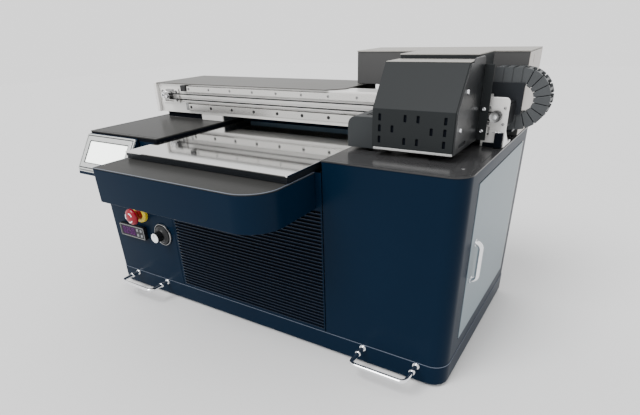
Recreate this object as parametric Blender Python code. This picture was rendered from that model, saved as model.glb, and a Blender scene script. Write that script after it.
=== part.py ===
"""Benchtop flatbed UV printer: cabinet, sliding table, gantry beam, print carriage and cable chain.

Metres, +Z up, operator side towards -Y. The origin is on the ground under the middle of the overall box.
"""

from math import cos, pi, sin

import bmesh
import bpy
from mathutils import Vector

# Overall sizes
WIDTH = 0.800
DEPTH = 0.390
FOOT_HEIGHT = 0.006
SEAM_Z = 0.043
COLUMN_TOP = 0.362
SHEET = 0.002
GAP = 0.0003
CORNER_RADIUS = 0.028
SHARP_RADIUS = 0.004
FOLD_RADIUS = 0.003
FOOT_RADIUS = 0.016
FOOT_INSET = (0.055, 0.050)

# Bay between the two columns, measured from the left side
BAY_LEFT = 0.2055
BAY_RIGHT = 0.5734

# Louvred front panel
LOUVRE_COUNT = 34
LOUVRE_PITCH = 0.0068
LOUVRE_SLOT = 0.0030
LOUVRE_START_Z = 0.0500
LOUVRE_MARGIN = 0.012

# Vents in the rear panel
VENT_COUNT = 12
VENT_PITCH = 0.022
VENT_WIDTH = 0.012
VENT_Z = (0.100, 0.220)
VENT_MARGIN = 0.050
REAR_PANEL_TOP = 0.350

# Table housing in front of the bay
HOUSING_LEFT = 0.2030
HOUSING_RIGHT = 0.5620
HOUSING_FRONT = -0.1430
HOUSING_BOTTOM = 0.2822
HOUSING_TOP = 0.3426
HOUSING_RADIUS = 0.055

# Table and its drive
TABLE_LEFT = 0.2075
TABLE_RIGHT = 0.5627
TABLE_FRONT = -0.0745
TABLE_REAR = 0.2455
TABLE_TOP = 0.3560
TABLE_THICKNESS = 0.0080
DECK_TOP = 0.2785
RAIL_SPACING = 0.200
BAY_CENTRE = 0.3845
SCREW_Z = 0.300
SCREW_RADIUS = 0.006
BLOCK_FRONT = 0.070
BLOCK_REAR = 0.170
BLOCK_HALF = 0.017
BLOCK_HEIGHT = 0.0275
TABLE_RAIL_HALF = 0.0075
TABLE_RAIL_HEIGHT = 0.0150
FRAME_SHEET = 0.004
MOTOR_LENGTH = 0.038

# Gantry beam
BEAM_BOTTOM = 0.3740
BEAM_TOP = 0.4352
BEAM_FACE = 0.190
BEAM_BACK = 0.236
BEAM_LEFT = 0.015
BEAM_RIGHT = 0.762
RAIL_FACE = 0.183
UPPER_RAIL_Z = 0.426
LOWER_RAIL_Z = 0.3885
RAIL_LEFT = 0.112
RAIL_RIGHT = 0.760
BELT_Z = 0.410
BELT_RADIUS = 0.0062
BELT_THICKNESS = 0.0012
BELT_Y = (0.1755, 0.1835)
IDLER_X = 0.055
MOTOR_X = 0.782
FLANGE_RADIUS = 0.0085
BEAM_WALL = 0.004
PILLAR_Y = (0.188, 0.2795)
LEFT_PILLAR_X = (0.143, 0.205)
RIGHT_PILLAR_X = (0.575, 0.640)
TRAY_X = (0.495, 0.798)
TRAY_Z = (0.3765, 0.3799)
COVER_X = (0.0152, 0.500)
COVER_Y = (0.184, 0.340)
COVER_TOP = BEAM_TOP + 0.0018
END_PLATE_LEFT = 0.006
BRACKET_RIGHT = 0.7985

# Rear box over the right column
REAR_BOX_LEFT = 0.487
REAR_BOX_Y = (0.283, 0.389)
REAR_BOX_TOP = 0.496
REAR_BOX_SHEET = 0.0018

# Print carriage
CARRIAGE_LEFT = 0.630
CARRIAGE_RIGHT = 0.7555
CARRIAGE_FRONT = 0.060
CARRIAGE_BEND_Z = 0.432
CARRIAGE_TOP = 0.491
CARRIAGE_SLOPE_Y = 0.100
CARRIAGE_BACK = 0.149
CARRIAGE_FOOT = 0.3763
CARRIAGE_SHEET = 0.0016
BLOCK_X = (0.665, 0.720)
PLATE_Y = (0.1670, 0.1717)
HEAD_X = (0.664, 0.716)
HEAD_Y = (0.084, 0.136)
HEAD_Z = (0.3655, 0.3990)
SIDE_PANEL_Y = (0.0605, 0.1735)
SIDE_PANEL_Z = (0.3740, 0.4960)
INK_BOX_Y = (0.1502, 0.2360)
INK_BOX_Z = (0.4445, 0.4990)
LAMP_LEFT = 0.577
LAMP_Y = (0.080, 0.150)
LAMP_Z = (0.3670, 0.4150)
LAMP_RADIUS = 0.014

# Cable chain
CHAIN_FRONT = 0.240
CHAIN_BACK = 0.275
CHAIN_BEND_X = 0.800
CHAIN_BEND_Z = 0.4275
CHAIN_OUTER = 0.0470
CHAIN_INNER = 0.0215
CHAIN_START = 0.757
CHAIN_FIXED_END = 0.502

# Service door in the right side
DOOR_FRONT = 0.0628
DOOR_REAR = 0.3536
DOOR_BOTTOM = 0.0702
DOOR_TOP = 0.3388
HINGE_Y = 0.3562
HINGE_X = 0.7983
DOOR_SHEET = 0.0015
DOOR_CLEARANCE = 0.001
PULL_REACH = 0.0155
PULL_Y = (0.0790, 0.0860)
PULL_Z = (0.1720, 0.2440)
PULL_BAR = 0.0065

# Lifting handles on the plinth's front
HANDLE_LEFTS = (0.049, 0.652)
HANDLE_SPAN = 0.100
HANDLE_REACH = 0.050
HANDLE_Z = 0.0365
HANDLE_RADIUS = 0.004

# Controls on the left column's front
STOP_AT = (0.110, 0.1965)
STOP_RADIUS = 0.0178
COLLAR_RADIUS = 0.0195
CONTROLLER_X = (0.032, 0.114)
CONTROLLER_Z = (0.134, 0.164)
CONTROLLER_DEPTH = 0.008
KEY_PITCH = 0.012
KEY_HALF = 0.0032
SELECTOR_AT = (0.1690, 0.158)
SELECTOR_RADIUS = 0.0245

# Touch console on the left column
CONSOLE_LEFT = 0.002
CONSOLE_RIGHT = 0.153
CONSOLE_TOP = (-0.004, 0.3570)
CONSOLE_FOOT = (-0.0485, 0.2930)
SCREEN_MARGIN = 0.013
BEZEL_MARGIN = 0.016

# Where the carriage meets the beam and the belt
CARRIAGE_AT = (0.692, BEAM_FACE, BELT_Z)

# The layout below is measured from the cabinet's front left corner, and SHIFT moves it to the origin
SHIFT = Vector((-(CHAIN_BEND_X + CHAIN_OUTER) / 2, -(HOUSING_FRONT + DEPTH) / 2, 0.0))
AXES = {"x": (1, 2, 0), "y": (0, 2, 1), "z": (0, 1, 2)}


def clear_scene():
    for item in list(bpy.data.objects):
        bpy.data.objects.remove(item, do_unlink=True)


def material(name, colour, roughness, metallic=0.0):
    """A Principled material, made once and shared by name."""
    made = bpy.data.materials.get(name)
    if made:
        return made
    made = bpy.data.materials.new(name)
    made.use_nodes = True
    shader = made.node_tree.nodes["Principled BSDF"]
    shader.inputs["Base Color"].default_value = (*colour, 1.0)
    shader.inputs["Roughness"].default_value = roughness
    shader.inputs["Metallic"].default_value = metallic
    return made


def to_object(name, bm, origin=(0.0, 0.0, 0.0)):
    """A new object from the mesh, shifted to the part's frame, with its origin at a point of the layout."""
    bmesh.ops.recalc_face_normals(bm, faces=bm.faces)
    bmesh.ops.translate(bm, verts=bm.verts, vec=-Vector(origin))
    mesh = bpy.data.meshes.new(name)
    bm.to_mesh(mesh)
    bm.free()
    made = bpy.data.objects.new(name, mesh)
    made.location = Vector(origin) + SHIFT
    bpy.context.scene.collection.objects.link(made)
    mesh.shade_smooth()
    mesh.set_sharp_from_angle(angle=0.6)
    return made


def prism(outline, axis, low, high):
    """Runs a closed outline from low to high along an axis. The outline is in the other two axes."""
    first, second, along = AXES[axis]
    bm = bmesh.new()
    corners = []
    for a, b in outline:
        point = [0.0, 0.0, 0.0]
        point[first] = a
        point[second] = b
        point[along] = low
        corners.append(bm.verts.new(point))
    face = bm.faces.new(corners)
    moved = bmesh.ops.extrude_face_region(bm, geom=[face])
    step = Vector((0.0, 0.0, 0.0))
    step[along] = high - low
    far = [item for item in moved["geom"] if isinstance(item, bmesh.types.BMVert)]
    bmesh.ops.translate(bm, verts=far, vec=step)
    return bm


def rectangle(a, b, radii=(0.0, 0.0, 0.0, 0.0), steps=6):
    """Corner points of a rectangle from the low corner anticlockwise, each corner with its own radius."""
    corners = ((a[0], b[0]), (a[1], b[0]), (a[1], b[1]), (a[0], b[1]))
    inwards = ((1, 1), (-1, 1), (-1, -1), (1, -1))
    points = []
    for i, (corner, way, radius) in enumerate(zip(corners, inwards, radii)):
        if radius <= 0.0:
            points.append(corner)
            continue
        centre = (corner[0] + way[0] * radius, corner[1] + way[1] * radius)
        start = pi + i * pi / 2
        for k in range(steps + 1):
            angle = start + k * pi / 2 / steps
            points.append((centre[0] + radius * cos(angle), centre[1] + radius * sin(angle)))
    return points


def circle(a, b, radius, steps=24):
    angles = [2 * pi * k / steps for k in range(steps)]
    return [(a + radius * cos(t), b + radius * sin(t)) for t in angles]


def stadium(a0, a1, b, radius, steps=12):
    """An outline with two round ends, centred on a0 and a1."""
    left = [(a0 + radius * cos(t), b + radius * sin(t)) for t in arc(pi / 2, 3 * pi / 2, steps)]
    right = [(a1 + radius * cos(t), b + radius * sin(t)) for t in arc(-pi / 2, pi / 2, steps)]
    return left + right


def arc(start, end, steps):
    return [start + (end - start) * k / steps for k in range(steps + 1)]


def block(x, y, z):
    return prism(rectangle(x, y), "z", z[0], z[1])


def disc(axis, a, b, radius, low, high, steps=24):
    return prism(circle(a, b, radius, steps), axis, low, high)


def boolean(target, mesh, operation):
    """Adds or cuts a shape with an exact Boolean. The other shape stays as a hidden helper."""
    helper = to_object(f"{target.name}_{operation.lower()}_{len(target.modifiers)}", mesh)
    helper.hide_render = True
    helper.display_type = "WIRE"
    modifier = target.modifiers.new(operation.title(), "BOOLEAN")
    modifier.operation = operation
    modifier.object = helper


def make(name, paint, base, add=(), cut=(), origin=(0.0, 0.0, 0.0), parent=None):
    """One named sub-part: a base shape, shapes joined to it, then shapes cut from it."""
    made = to_object(name, base, origin)
    made.data.materials.append(paint)
    for shape in add:
        boolean(made, shape, "UNION")
    for shape in cut:
        boolean(made, shape, "DIFFERENCE")
    if parent:
        made.parent = parent
        made.matrix_parent_inverse = parent.matrix_basis.inverted()
    return made


def joint_frame(name, at, parent=None):
    """An empty on a joint's axis, which the moving pieces hang on."""
    empty = bpy.data.objects.new(name, None)
    empty.location = Vector(at) + SHIFT
    bpy.context.scene.collection.objects.link(empty)
    if parent:
        empty.parent = parent
        empty.matrix_parent_inverse = parent.matrix_basis.inverted()
    return empty


def turned(profile, axis_at, steps=24):
    """Turns (radius, y) pairs about a line along Y."""
    bm = bmesh.new()
    x, z = axis_at
    ring = [bm.verts.new((x + radius, y, z)) for radius, y in profile]
    edges = [bm.edges.new(pair) for pair in zip(ring, ring[1:])]
    bmesh.ops.spin(
        bm,
        geom=ring + edges,
        cent=(x, 0.0, z),
        axis=(0.0, 1.0, 0.0),
        angle=2 * pi,
        steps=steps,
        use_merge=True,
    )
    bmesh.ops.remove_doubles(bm, verts=bm.verts, dist=0.00001)
    return bm


def bent_rod(points, radius, bend, steps=12, turns=5):
    """A round rod through the points in a horizontal plane, with rounded bends."""
    path = [Vector(points[0])]
    for before, corner, after in zip(points, points[1:], points[2:]):
        corner = Vector(corner)
        back = (Vector(before) - corner).normalized()
        ahead = (Vector(after) - corner).normalized()
        centre = corner + (back + ahead) * bend
        for k in range(turns + 1):
            angle = pi / 2 * k / turns
            path.append(centre - ahead * bend * cos(angle) - back * bend * sin(angle))
    path.append(Vector(points[-1]))
    bm = bmesh.new()
    rings = []
    for i, at in enumerate(path):
        ahead = (path[min(i + 1, len(path) - 1)] - path[max(i - 1, 0)]).normalized()
        side = ahead.cross(Vector((0.0, 0.0, 1.0)))
        ring = []
        for k in range(steps):
            angle = 2 * pi * k / steps
            rise = Vector((0.0, 0.0, radius * sin(angle)))
            ring.append(bm.verts.new(at + side * radius * cos(angle) + rise))
        rings.append(ring)
    for one, two in zip(rings, rings[1:]):
        for k in range(steps):
            bm.faces.new((one[k], one[(k + 1) % steps], two[(k + 1) % steps], two[k]))
    bm.faces.new(rings[0])
    bm.faces.new(reversed(rings[-1]))
    return bm


def tilted(points_uv):
    """Points given along the console's slope and out of it, as (y, z) pairs."""
    top = Vector(CONSOLE_TOP)
    down = (Vector(CONSOLE_FOOT) - top).normalized()
    out = Vector((down.y, -down.x))
    return [tuple(top + down * u + out * v) for u, v in points_uv]


NAVY = material("navy powder coat", (0.020, 0.040, 0.066), 0.30)
CHARCOAL = material("charcoal powder coat", (0.060, 0.066, 0.070), 0.42)
GREY = material("grey powder coat", (0.110, 0.110, 0.110), 0.45)
PALE = material("pale grey paint", (0.380, 0.430, 0.480), 0.40)
WHITE = material("white anodised aluminium", (0.780, 0.770, 0.750), 0.35, 0.6)
COVER = material("cover sheet", (0.360, 0.350, 0.320), 0.40)
ALUMINIUM = material("polished aluminium", (0.800, 0.800, 0.800), 0.12, 1.0)
STEEL = material("ground steel", (0.620, 0.620, 0.620), 0.22, 1.0)
CHROME = material("chrome", (0.850, 0.850, 0.860), 0.08, 1.0)
RUBBER = material("black rubber", (0.015, 0.015, 0.016), 0.80)
BLACK = material("black plastic", (0.018, 0.018, 0.020), 0.45)
CHAIN = material("chain nylon", (0.060, 0.065, 0.070), 0.55)
RED = material("red plastic", (0.480, 0.015, 0.020), 0.30)
YELLOW = material("yellow plastic", (0.750, 0.560, 0.060), 0.40)
SILVER = material("silver bezel", (0.520, 0.520, 0.510), 0.35)
SCREEN = material("screen glass", (0.860, 0.900, 0.870), 0.10)


def build_cabinet():
    corners = (SHARP_RADIUS, CORNER_RADIUS, SHARP_RADIUS, SHARP_RADIUS)
    inner = tuple(radius - SHEET for radius in corners)
    make(
        "plinth",
        NAVY,
        prism(rectangle((0.0, WIDTH), (0.0, DEPTH), corners), "z", FOOT_HEIGHT, SEAM_Z - GAP),
        cut=[
            prism(
                rectangle((SHEET, WIDTH - SHEET), (SHEET, DEPTH - SHEET), inner),
                "z",
                FOOT_HEIGHT + SHEET,
                SEAM_Z + SHEET,
            )
        ],
    )
    for side, x in (("left", FOOT_INSET[0]), ("right", WIDTH - FOOT_INSET[0])):
        for end, y in (("front", FOOT_INSET[1]), ("rear", DEPTH - FOOT_INSET[1])):
            make(f"foot_{end}_{side}", RUBBER, disc("z", x, y, FOOT_RADIUS, 0.0, FOOT_HEIGHT - GAP))

    radii = (SHARP_RADIUS, FOLD_RADIUS, FOLD_RADIUS, SHARP_RADIUS)
    inner = tuple(radius - SHEET for radius in radii)
    make(
        "left_column",
        NAVY,
        prism(rectangle((0.0, BAY_LEFT), (0.0, DEPTH), radii), "z", SEAM_Z, COLUMN_TOP),
        cut=[
            prism(
                rectangle((SHEET, BAY_LEFT - SHEET), (SHEET, DEPTH - SHEET), inner),
                "z",
                SEAM_Z - SHEET,
                COLUMN_TOP - SHEET,
            )
        ],
    )
    radii = (FOLD_RADIUS, CORNER_RADIUS, SHARP_RADIUS, FOLD_RADIUS)
    inner = tuple(radius - SHEET for radius in radii)
    opening = block(
        (WIDTH - 3 * SHEET, WIDTH + SHEET),
        (DOOR_FRONT - DOOR_CLEARANCE, HINGE_Y + 0.0024),
        (DOOR_BOTTOM - DOOR_CLEARANCE, DOOR_TOP + DOOR_CLEARANCE),
    )
    make(
        "right_column",
        NAVY,
        prism(rectangle((BAY_RIGHT, WIDTH), (0.0, DEPTH), radii), "z", SEAM_Z, COLUMN_TOP),
        cut=[
            prism(
                rectangle((BAY_RIGHT + SHEET, WIDTH - SHEET), (SHEET, DEPTH - SHEET), inner),
                "z",
                SEAM_Z - SHEET,
                COLUMN_TOP - SHEET,
            ),
            opening,
        ],
    )

    left = BAY_LEFT + GAP
    right = BAY_RIGHT - GAP
    rows = [LOUVRE_START_Z + k * LOUVRE_PITCH for k in range(LOUVRE_COUNT)]
    through = (-SHEET, 2 * SHEET)
    across = (left + LOUVRE_MARGIN, right - LOUVRE_MARGIN)
    slots = [block(across, through, (z, z + LOUVRE_SLOT)) for z in rows]
    behind_housing = block(
        (left - SHEET, HOUSING_RIGHT - 2 * SHEET),
        through,
        (HOUSING_BOTTOM + 2 * SHEET, HOUSING_TOP + SHEET),
    )
    make(
        "louvre_panel",
        NAVY,
        block((left, right), (0.0, SHEET), (SEAM_Z + GAP, HOUSING_TOP - 2 * GAP)),
        cut=[behind_housing, joined(slots)],
    )
    starts = [BAY_LEFT + VENT_MARGIN + k * VENT_PITCH for k in range(VENT_COUNT)]
    vents = [block((x, x + VENT_WIDTH), (DEPTH - 3 * SHEET, DEPTH + SHEET), VENT_Z) for x in starts]
    make(
        "rear_panel",
        NAVY,
        block((left, right), (DEPTH - SHEET, DEPTH), (SEAM_Z + GAP, REAR_PANEL_TOP)),
        cut=[joined(vents)],
    )


def joined(shapes):
    """One mesh that holds several shapes which don't touch."""
    whole = bmesh.new()
    for shape in shapes:
        mesh = bpy.data.meshes.new("piece")
        shape.to_mesh(mesh)
        shape.free()
        whole.from_mesh(mesh)
        bpy.data.meshes.remove(mesh)
    return whole


def build_handles():
    for name, left in zip(("handle_left", "handle_right"), HANDLE_LEFTS):
        right = left + HANDLE_SPAN
        points = [
            (left, -GAP, HANDLE_Z),
            (left, -HANDLE_REACH, HANDLE_Z),
            (right, -HANDLE_REACH, HANDLE_Z),
            (right, -GAP, HANDLE_Z),
        ]
        make(name, CHROME, bent_rod(points, HANDLE_RADIUS, 0.009))


def build_door():
    at = (HINGE_X, HINGE_Y, DOOR_BOTTOM)
    frame = joint_frame("door_frame", (HINGE_X, HINGE_Y, (DOOR_BOTTOM + DOOR_TOP) / 2))
    panel = block((WIDTH - DOOR_SHEET, WIDTH), (DOOR_FRONT, DOOR_REAR), (DOOR_BOTTOM, DOOR_TOP))
    make("service_door", PALE, panel, origin=at, parent=frame)
    bar = PULL_BAR
    outside = rectangle((WIDTH + GAP, WIDTH + PULL_REACH), PULL_Z, (0.0, 0.009, 0.009, 0.0))
    inside = rectangle(
        (WIDTH - 0.01, WIDTH + PULL_REACH - bar), (PULL_Z[0] + bar, PULL_Z[1] - bar), (0.0, 0.004, 0.004, 0.0)
    )
    make(
        "door_pull",
        CHROME,
        prism(outside, "y", *PULL_Y),
        add=pull_feet(),
        cut=[prism(inside, "y", PULL_Y[0] - 0.01, PULL_Y[1] + 0.01)],
        origin=at,
        parent=frame,
    )
    pin = disc("z", HINGE_X, HINGE_Y, 0.0016, DOOR_BOTTOM - 0.0007, DOOR_TOP + 0.0007, 16)
    make("door_hinge_pin", STEEL, pin)


def pull_feet():
    """The flat rosettes under the door pull's two legs."""
    rim = 0.002
    size = PULL_BAR + 2 * rim
    starts = (PULL_Z[0] - rim, PULL_Z[1] - PULL_BAR - rim)
    return [
        block((WIDTH + GAP, WIDTH + 0.003), (PULL_Y[0] - rim, PULL_Y[1] + rim), (z, z + size)) for z in starts
    ]


def build_housing():
    radii = (SHARP_RADIUS, HOUSING_RADIUS, 0.0, 0.0)
    inner = (SHARP_RADIUS - SHEET, HOUSING_RADIUS - SHEET, 0.0, 0.0)
    make(
        "table_housing",
        NAVY,
        prism(
            rectangle((HOUSING_LEFT, HOUSING_RIGHT), (HOUSING_FRONT, -GAP), radii, 10),
            "z",
            HOUSING_BOTTOM,
            HOUSING_TOP,
        ),
        cut=[
            prism(
                rectangle(
                    (HOUSING_LEFT + SHEET, HOUSING_RIGHT - SHEET), (HOUSING_FRONT + SHEET, 0.01), inner, 10
                ),
                "z",
                HOUSING_BOTTOM + SHEET,
                HOUSING_TOP - SHEET,
            )
        ],
    )


def build_controls():
    """The stop button, temperature controller and selector on the left column's front."""
    front = -0.0085
    collar = [
        (0.0, front),
        (COLLAR_RADIUS - 0.002, front),
        (COLLAR_RADIUS, front + 0.002),
        (COLLAR_RADIUS, -GAP),
        (0.0, -GAP),
    ]
    bore = disc("y", *STOP_AT, 0.0100, -0.01, 0.01)
    make("estop_collar", YELLOW, turned(collar, STOP_AT), cut=[bore])
    head = [
        (0.0, -0.0345),
        (0.0100, -0.0340),
        (0.0155, -0.0318),
        (STOP_RADIUS, -0.0280),
        (STOP_RADIUS, -0.0250),
        (0.0160, -0.0220),
    ]
    stem = [(0.0095, -0.0212), (0.0095, -0.0050), (0.0, -0.0050)]
    centre = (STOP_AT[0], -0.0050, STOP_AT[1])
    frame = joint_frame("estop_frame", centre)
    make("estop_head", RED, turned(head + stem, STOP_AT), origin=centre, parent=frame)
    build_controller()

    x, z = SELECTOR_AT
    width = SELECTOR_RADIUS
    ring = [
        (width - 0.0030, -0.0045),
        (width, -0.0030),
        (width, -GAP),
        (width - 0.0045, -GAP),
        (width - 0.0045, -0.0045),
        (width - 0.0030, -0.0045),
    ]
    make("selector_ring", CHROME, turned(ring, SELECTOR_AT, 32))
    knob = [
        (0.0, -0.0255),
        (0.0090, -0.0255),
        (0.0105, -0.0240),
        (0.0125, -0.0080),
        (width - 0.0055, -0.0060),
        (width - 0.0055, -GAP),
        (0.0, -GAP),
    ]
    frame = joint_frame("selector_frame", (x, 0.0, z))
    make("selector_knob", BLACK, turned(knob, SELECTOR_AT, 32), origin=(x, 0.0, z), parent=frame)


def build_controller():
    """The temperature controller's case, with a recessed display and four keys in pockets."""
    left, low = CONTROLLER_X[0], CONTROLLER_Z[0]
    high = CONTROLLER_Z[1]
    first = (left + 0.060, low + 0.009)
    keys = [(first[0] + KEY_PITCH * i, first[1] + KEY_PITCH * k) for i in range(2) for k in range(2)]
    room = KEY_HALF + 0.0004
    outside = -CONTROLLER_DEPTH - 0.002
    pockets = [block((x - room, x + room), (outside, -0.0045), (z - room, z + room)) for x, z in keys]
    recess = (outside, -CONTROLLER_DEPTH + 0.001)
    display = block((left + 0.006, left + 0.052), recess, (low + 0.006, high - 0.006))
    body = prism(rectangle(CONTROLLER_X, CONTROLLER_Z, (FOLD_RADIUS,) * 4, 3), "y", -CONTROLLER_DEPTH, -GAP)
    make("temperature_controller", BLACK, body, cut=[joined(pockets + [display])])
    back = -0.0063
    for number, (x, z) in enumerate(keys, 1):
        frame = joint_frame(f"key_{number}_frame", (x, -0.0050, z))
        cap = block((x - KEY_HALF, x + KEY_HALF), (-0.0090, back), (z - KEY_HALF, z + KEY_HALF))
        make(f"key_{number}", BLACK, cap, origin=(x, back, z), parent=frame)


def build_console():
    slope = (Vector(CONSOLE_FOOT) - Vector(CONSOLE_TOP)).length
    shell = [(-GAP, 0.3585), (-GAP, 0.3000), (-0.0420, 0.2830), (-0.0500, 0.2830)]
    shell += tilted([(slope, 0.0), (0.0, 0.0)])
    rim = 0.001
    margin = SCREEN_MARGIN
    bezel = tilted([(rim, -0.002), (slope - rim, -0.002), (slope - rim, 0.0035), (rim, 0.0035)])
    window = tilted([(margin, 0.0), (slope - margin, 0.0), (slope - margin, 0.006), (margin, 0.006)])
    make(
        "console_housing",
        NAVY,
        prism(shell, "x", CONSOLE_LEFT, CONSOLE_RIGHT),
        add=[prism(bezel, "x", CONSOLE_LEFT + rim, CONSOLE_RIGHT - rim)],
        cut=[prism(window, "x", CONSOLE_LEFT + BEZEL_MARGIN, CONSOLE_RIGHT - BEZEL_MARGIN)],
    )
    margin = SCREEN_MARGIN + GAP
    side = BEZEL_MARGIN + GAP
    glass = tilted([(margin, GAP), (slope - margin, GAP), (slope - margin, 0.0026), (margin, 0.0026)])
    make("touch_screen", SCREEN, prism(glass, "x", CONSOLE_LEFT + side, CONSOLE_RIGHT - side))


def build_table():
    """The bridge deck, its rails and screw, and the sliding table on them."""
    low = FOOT_HEIGHT + SHEET + GAP
    left = BAY_LEFT + 0.003
    right = BAY_RIGHT - 0.003
    depth = (FRAME_SHEET, DEPTH - FRAME_SHEET)
    deck = block((left, right), depth, (DECK_TOP - FRAME_SHEET, DECK_TOP))
    legs = [block((x, x + FRAME_SHEET), depth, (low, DECK_TOP - 0.001)) for x in (left, right - FRAME_SHEET)]
    bearing = block(
        (BAY_CENTRE - 0.020, BAY_CENTRE + 0.020),
        (FRAME_SHEET, FRAME_SHEET + 0.008),
        (DECK_TOP - 0.001, SCREW_Z + 0.018),
    )
    make(
        "inner_frame",
        GREY,
        deck,
        add=legs + [bearing],
        cut=[disc("y", BAY_CENTRE, SCREW_Z, SCREW_RADIUS + GAP, 0.0, 0.016)],
    )
    centre = (BAY_CENTRE, (BLOCK_FRONT + BLOCK_REAR) / 2, DECK_TOP)
    frame = joint_frame("table_frame", centre)
    foot = DECK_TOP + GAP
    plate_bottom = TABLE_TOP - TABLE_THICKNESS
    blocks_y = (BLOCK_FRONT, BLOCK_REAR)
    webs = []
    for side, offset in (("left", -RAIL_SPACING / 2), ("right", RAIL_SPACING / 2)):
        x = BAY_CENTRE + offset
        width = (x - BLOCK_HALF, x + BLOCK_HALF)
        rail = rectangle((x - TABLE_RAIL_HALF, x + TABLE_RAIL_HALF), (foot, foot + TABLE_RAIL_HEIGHT))
        make(f"table_rail_{side}", STEEL, prism(rail, "y", 0.006, DEPTH - 0.018))
        channel = block(
            (x - TABLE_RAIL_HALF - GAP, x + TABLE_RAIL_HALF + GAP),
            (BLOCK_FRONT - 0.01, BLOCK_REAR + 0.01),
            (DECK_TOP, foot + TABLE_RAIL_HEIGHT + GAP),
        )
        make(
            f"table_block_{side}",
            STEEL,
            block(width, blocks_y, (foot + 0.003, foot + BLOCK_HEIGHT)),
            cut=[channel],
            origin=centre,
            parent=frame,
        )
        webs.append(block(width, blocks_y, (foot + BLOCK_HEIGHT + GAP, plate_bottom - 0.003)))
    tray = block(
        (TABLE_LEFT + SHEET, TABLE_RIGHT - SHEET),
        (TABLE_FRONT + SHEET, TABLE_REAR - SHEET),
        (HOUSING_TOP + 0.0010, plate_bottom - GAP),
    )
    arm = block(
        (BAY_CENTRE - 0.018, BAY_CENTRE + 0.018), (0.104, 0.136), (SCREW_Z + 0.0145, plate_bottom - 0.003)
    )
    nut = disc("y", BAY_CENTRE, SCREW_Z, 0.0160, 0.100, 0.140)
    make(
        "table_sled",
        BLACK,
        tray,
        add=webs + [arm, nut],
        cut=[disc("y", BAY_CENTRE, SCREW_Z, SCREW_RADIUS + GAP, 0.09, 0.15)],
        origin=centre,
        parent=frame,
    )
    plate = rectangle((TABLE_LEFT, TABLE_RIGHT), (TABLE_FRONT, TABLE_REAR), (0.002,) * 4, 2)
    make("table_plate", ALUMINIUM, prism(plate, "z", plate_bottom, TABLE_TOP), origin=centre, parent=frame)
    motor_front = DEPTH - FRAME_SHEET - MOTOR_LENGTH
    at = (BAY_CENTRE, 0.180, SCREW_Z)
    screw = disc("y", BAY_CENTRE, SCREW_Z, SCREW_RADIUS, 0.006, motor_front - GAP)
    make("leadscrew", STEEL, screw, origin=at, parent=joint_frame("leadscrew_frame", at))
    half = 0.021
    width = (BAY_CENTRE - half, BAY_CENTRE + half)
    case = rectangle(width, (SCREW_Z - half, SCREW_Z + half), (0.004,) * 4, 2)
    make("leadscrew_motor", BLACK, prism(case, "y", motor_front, DEPTH - FRAME_SHEET))


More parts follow.
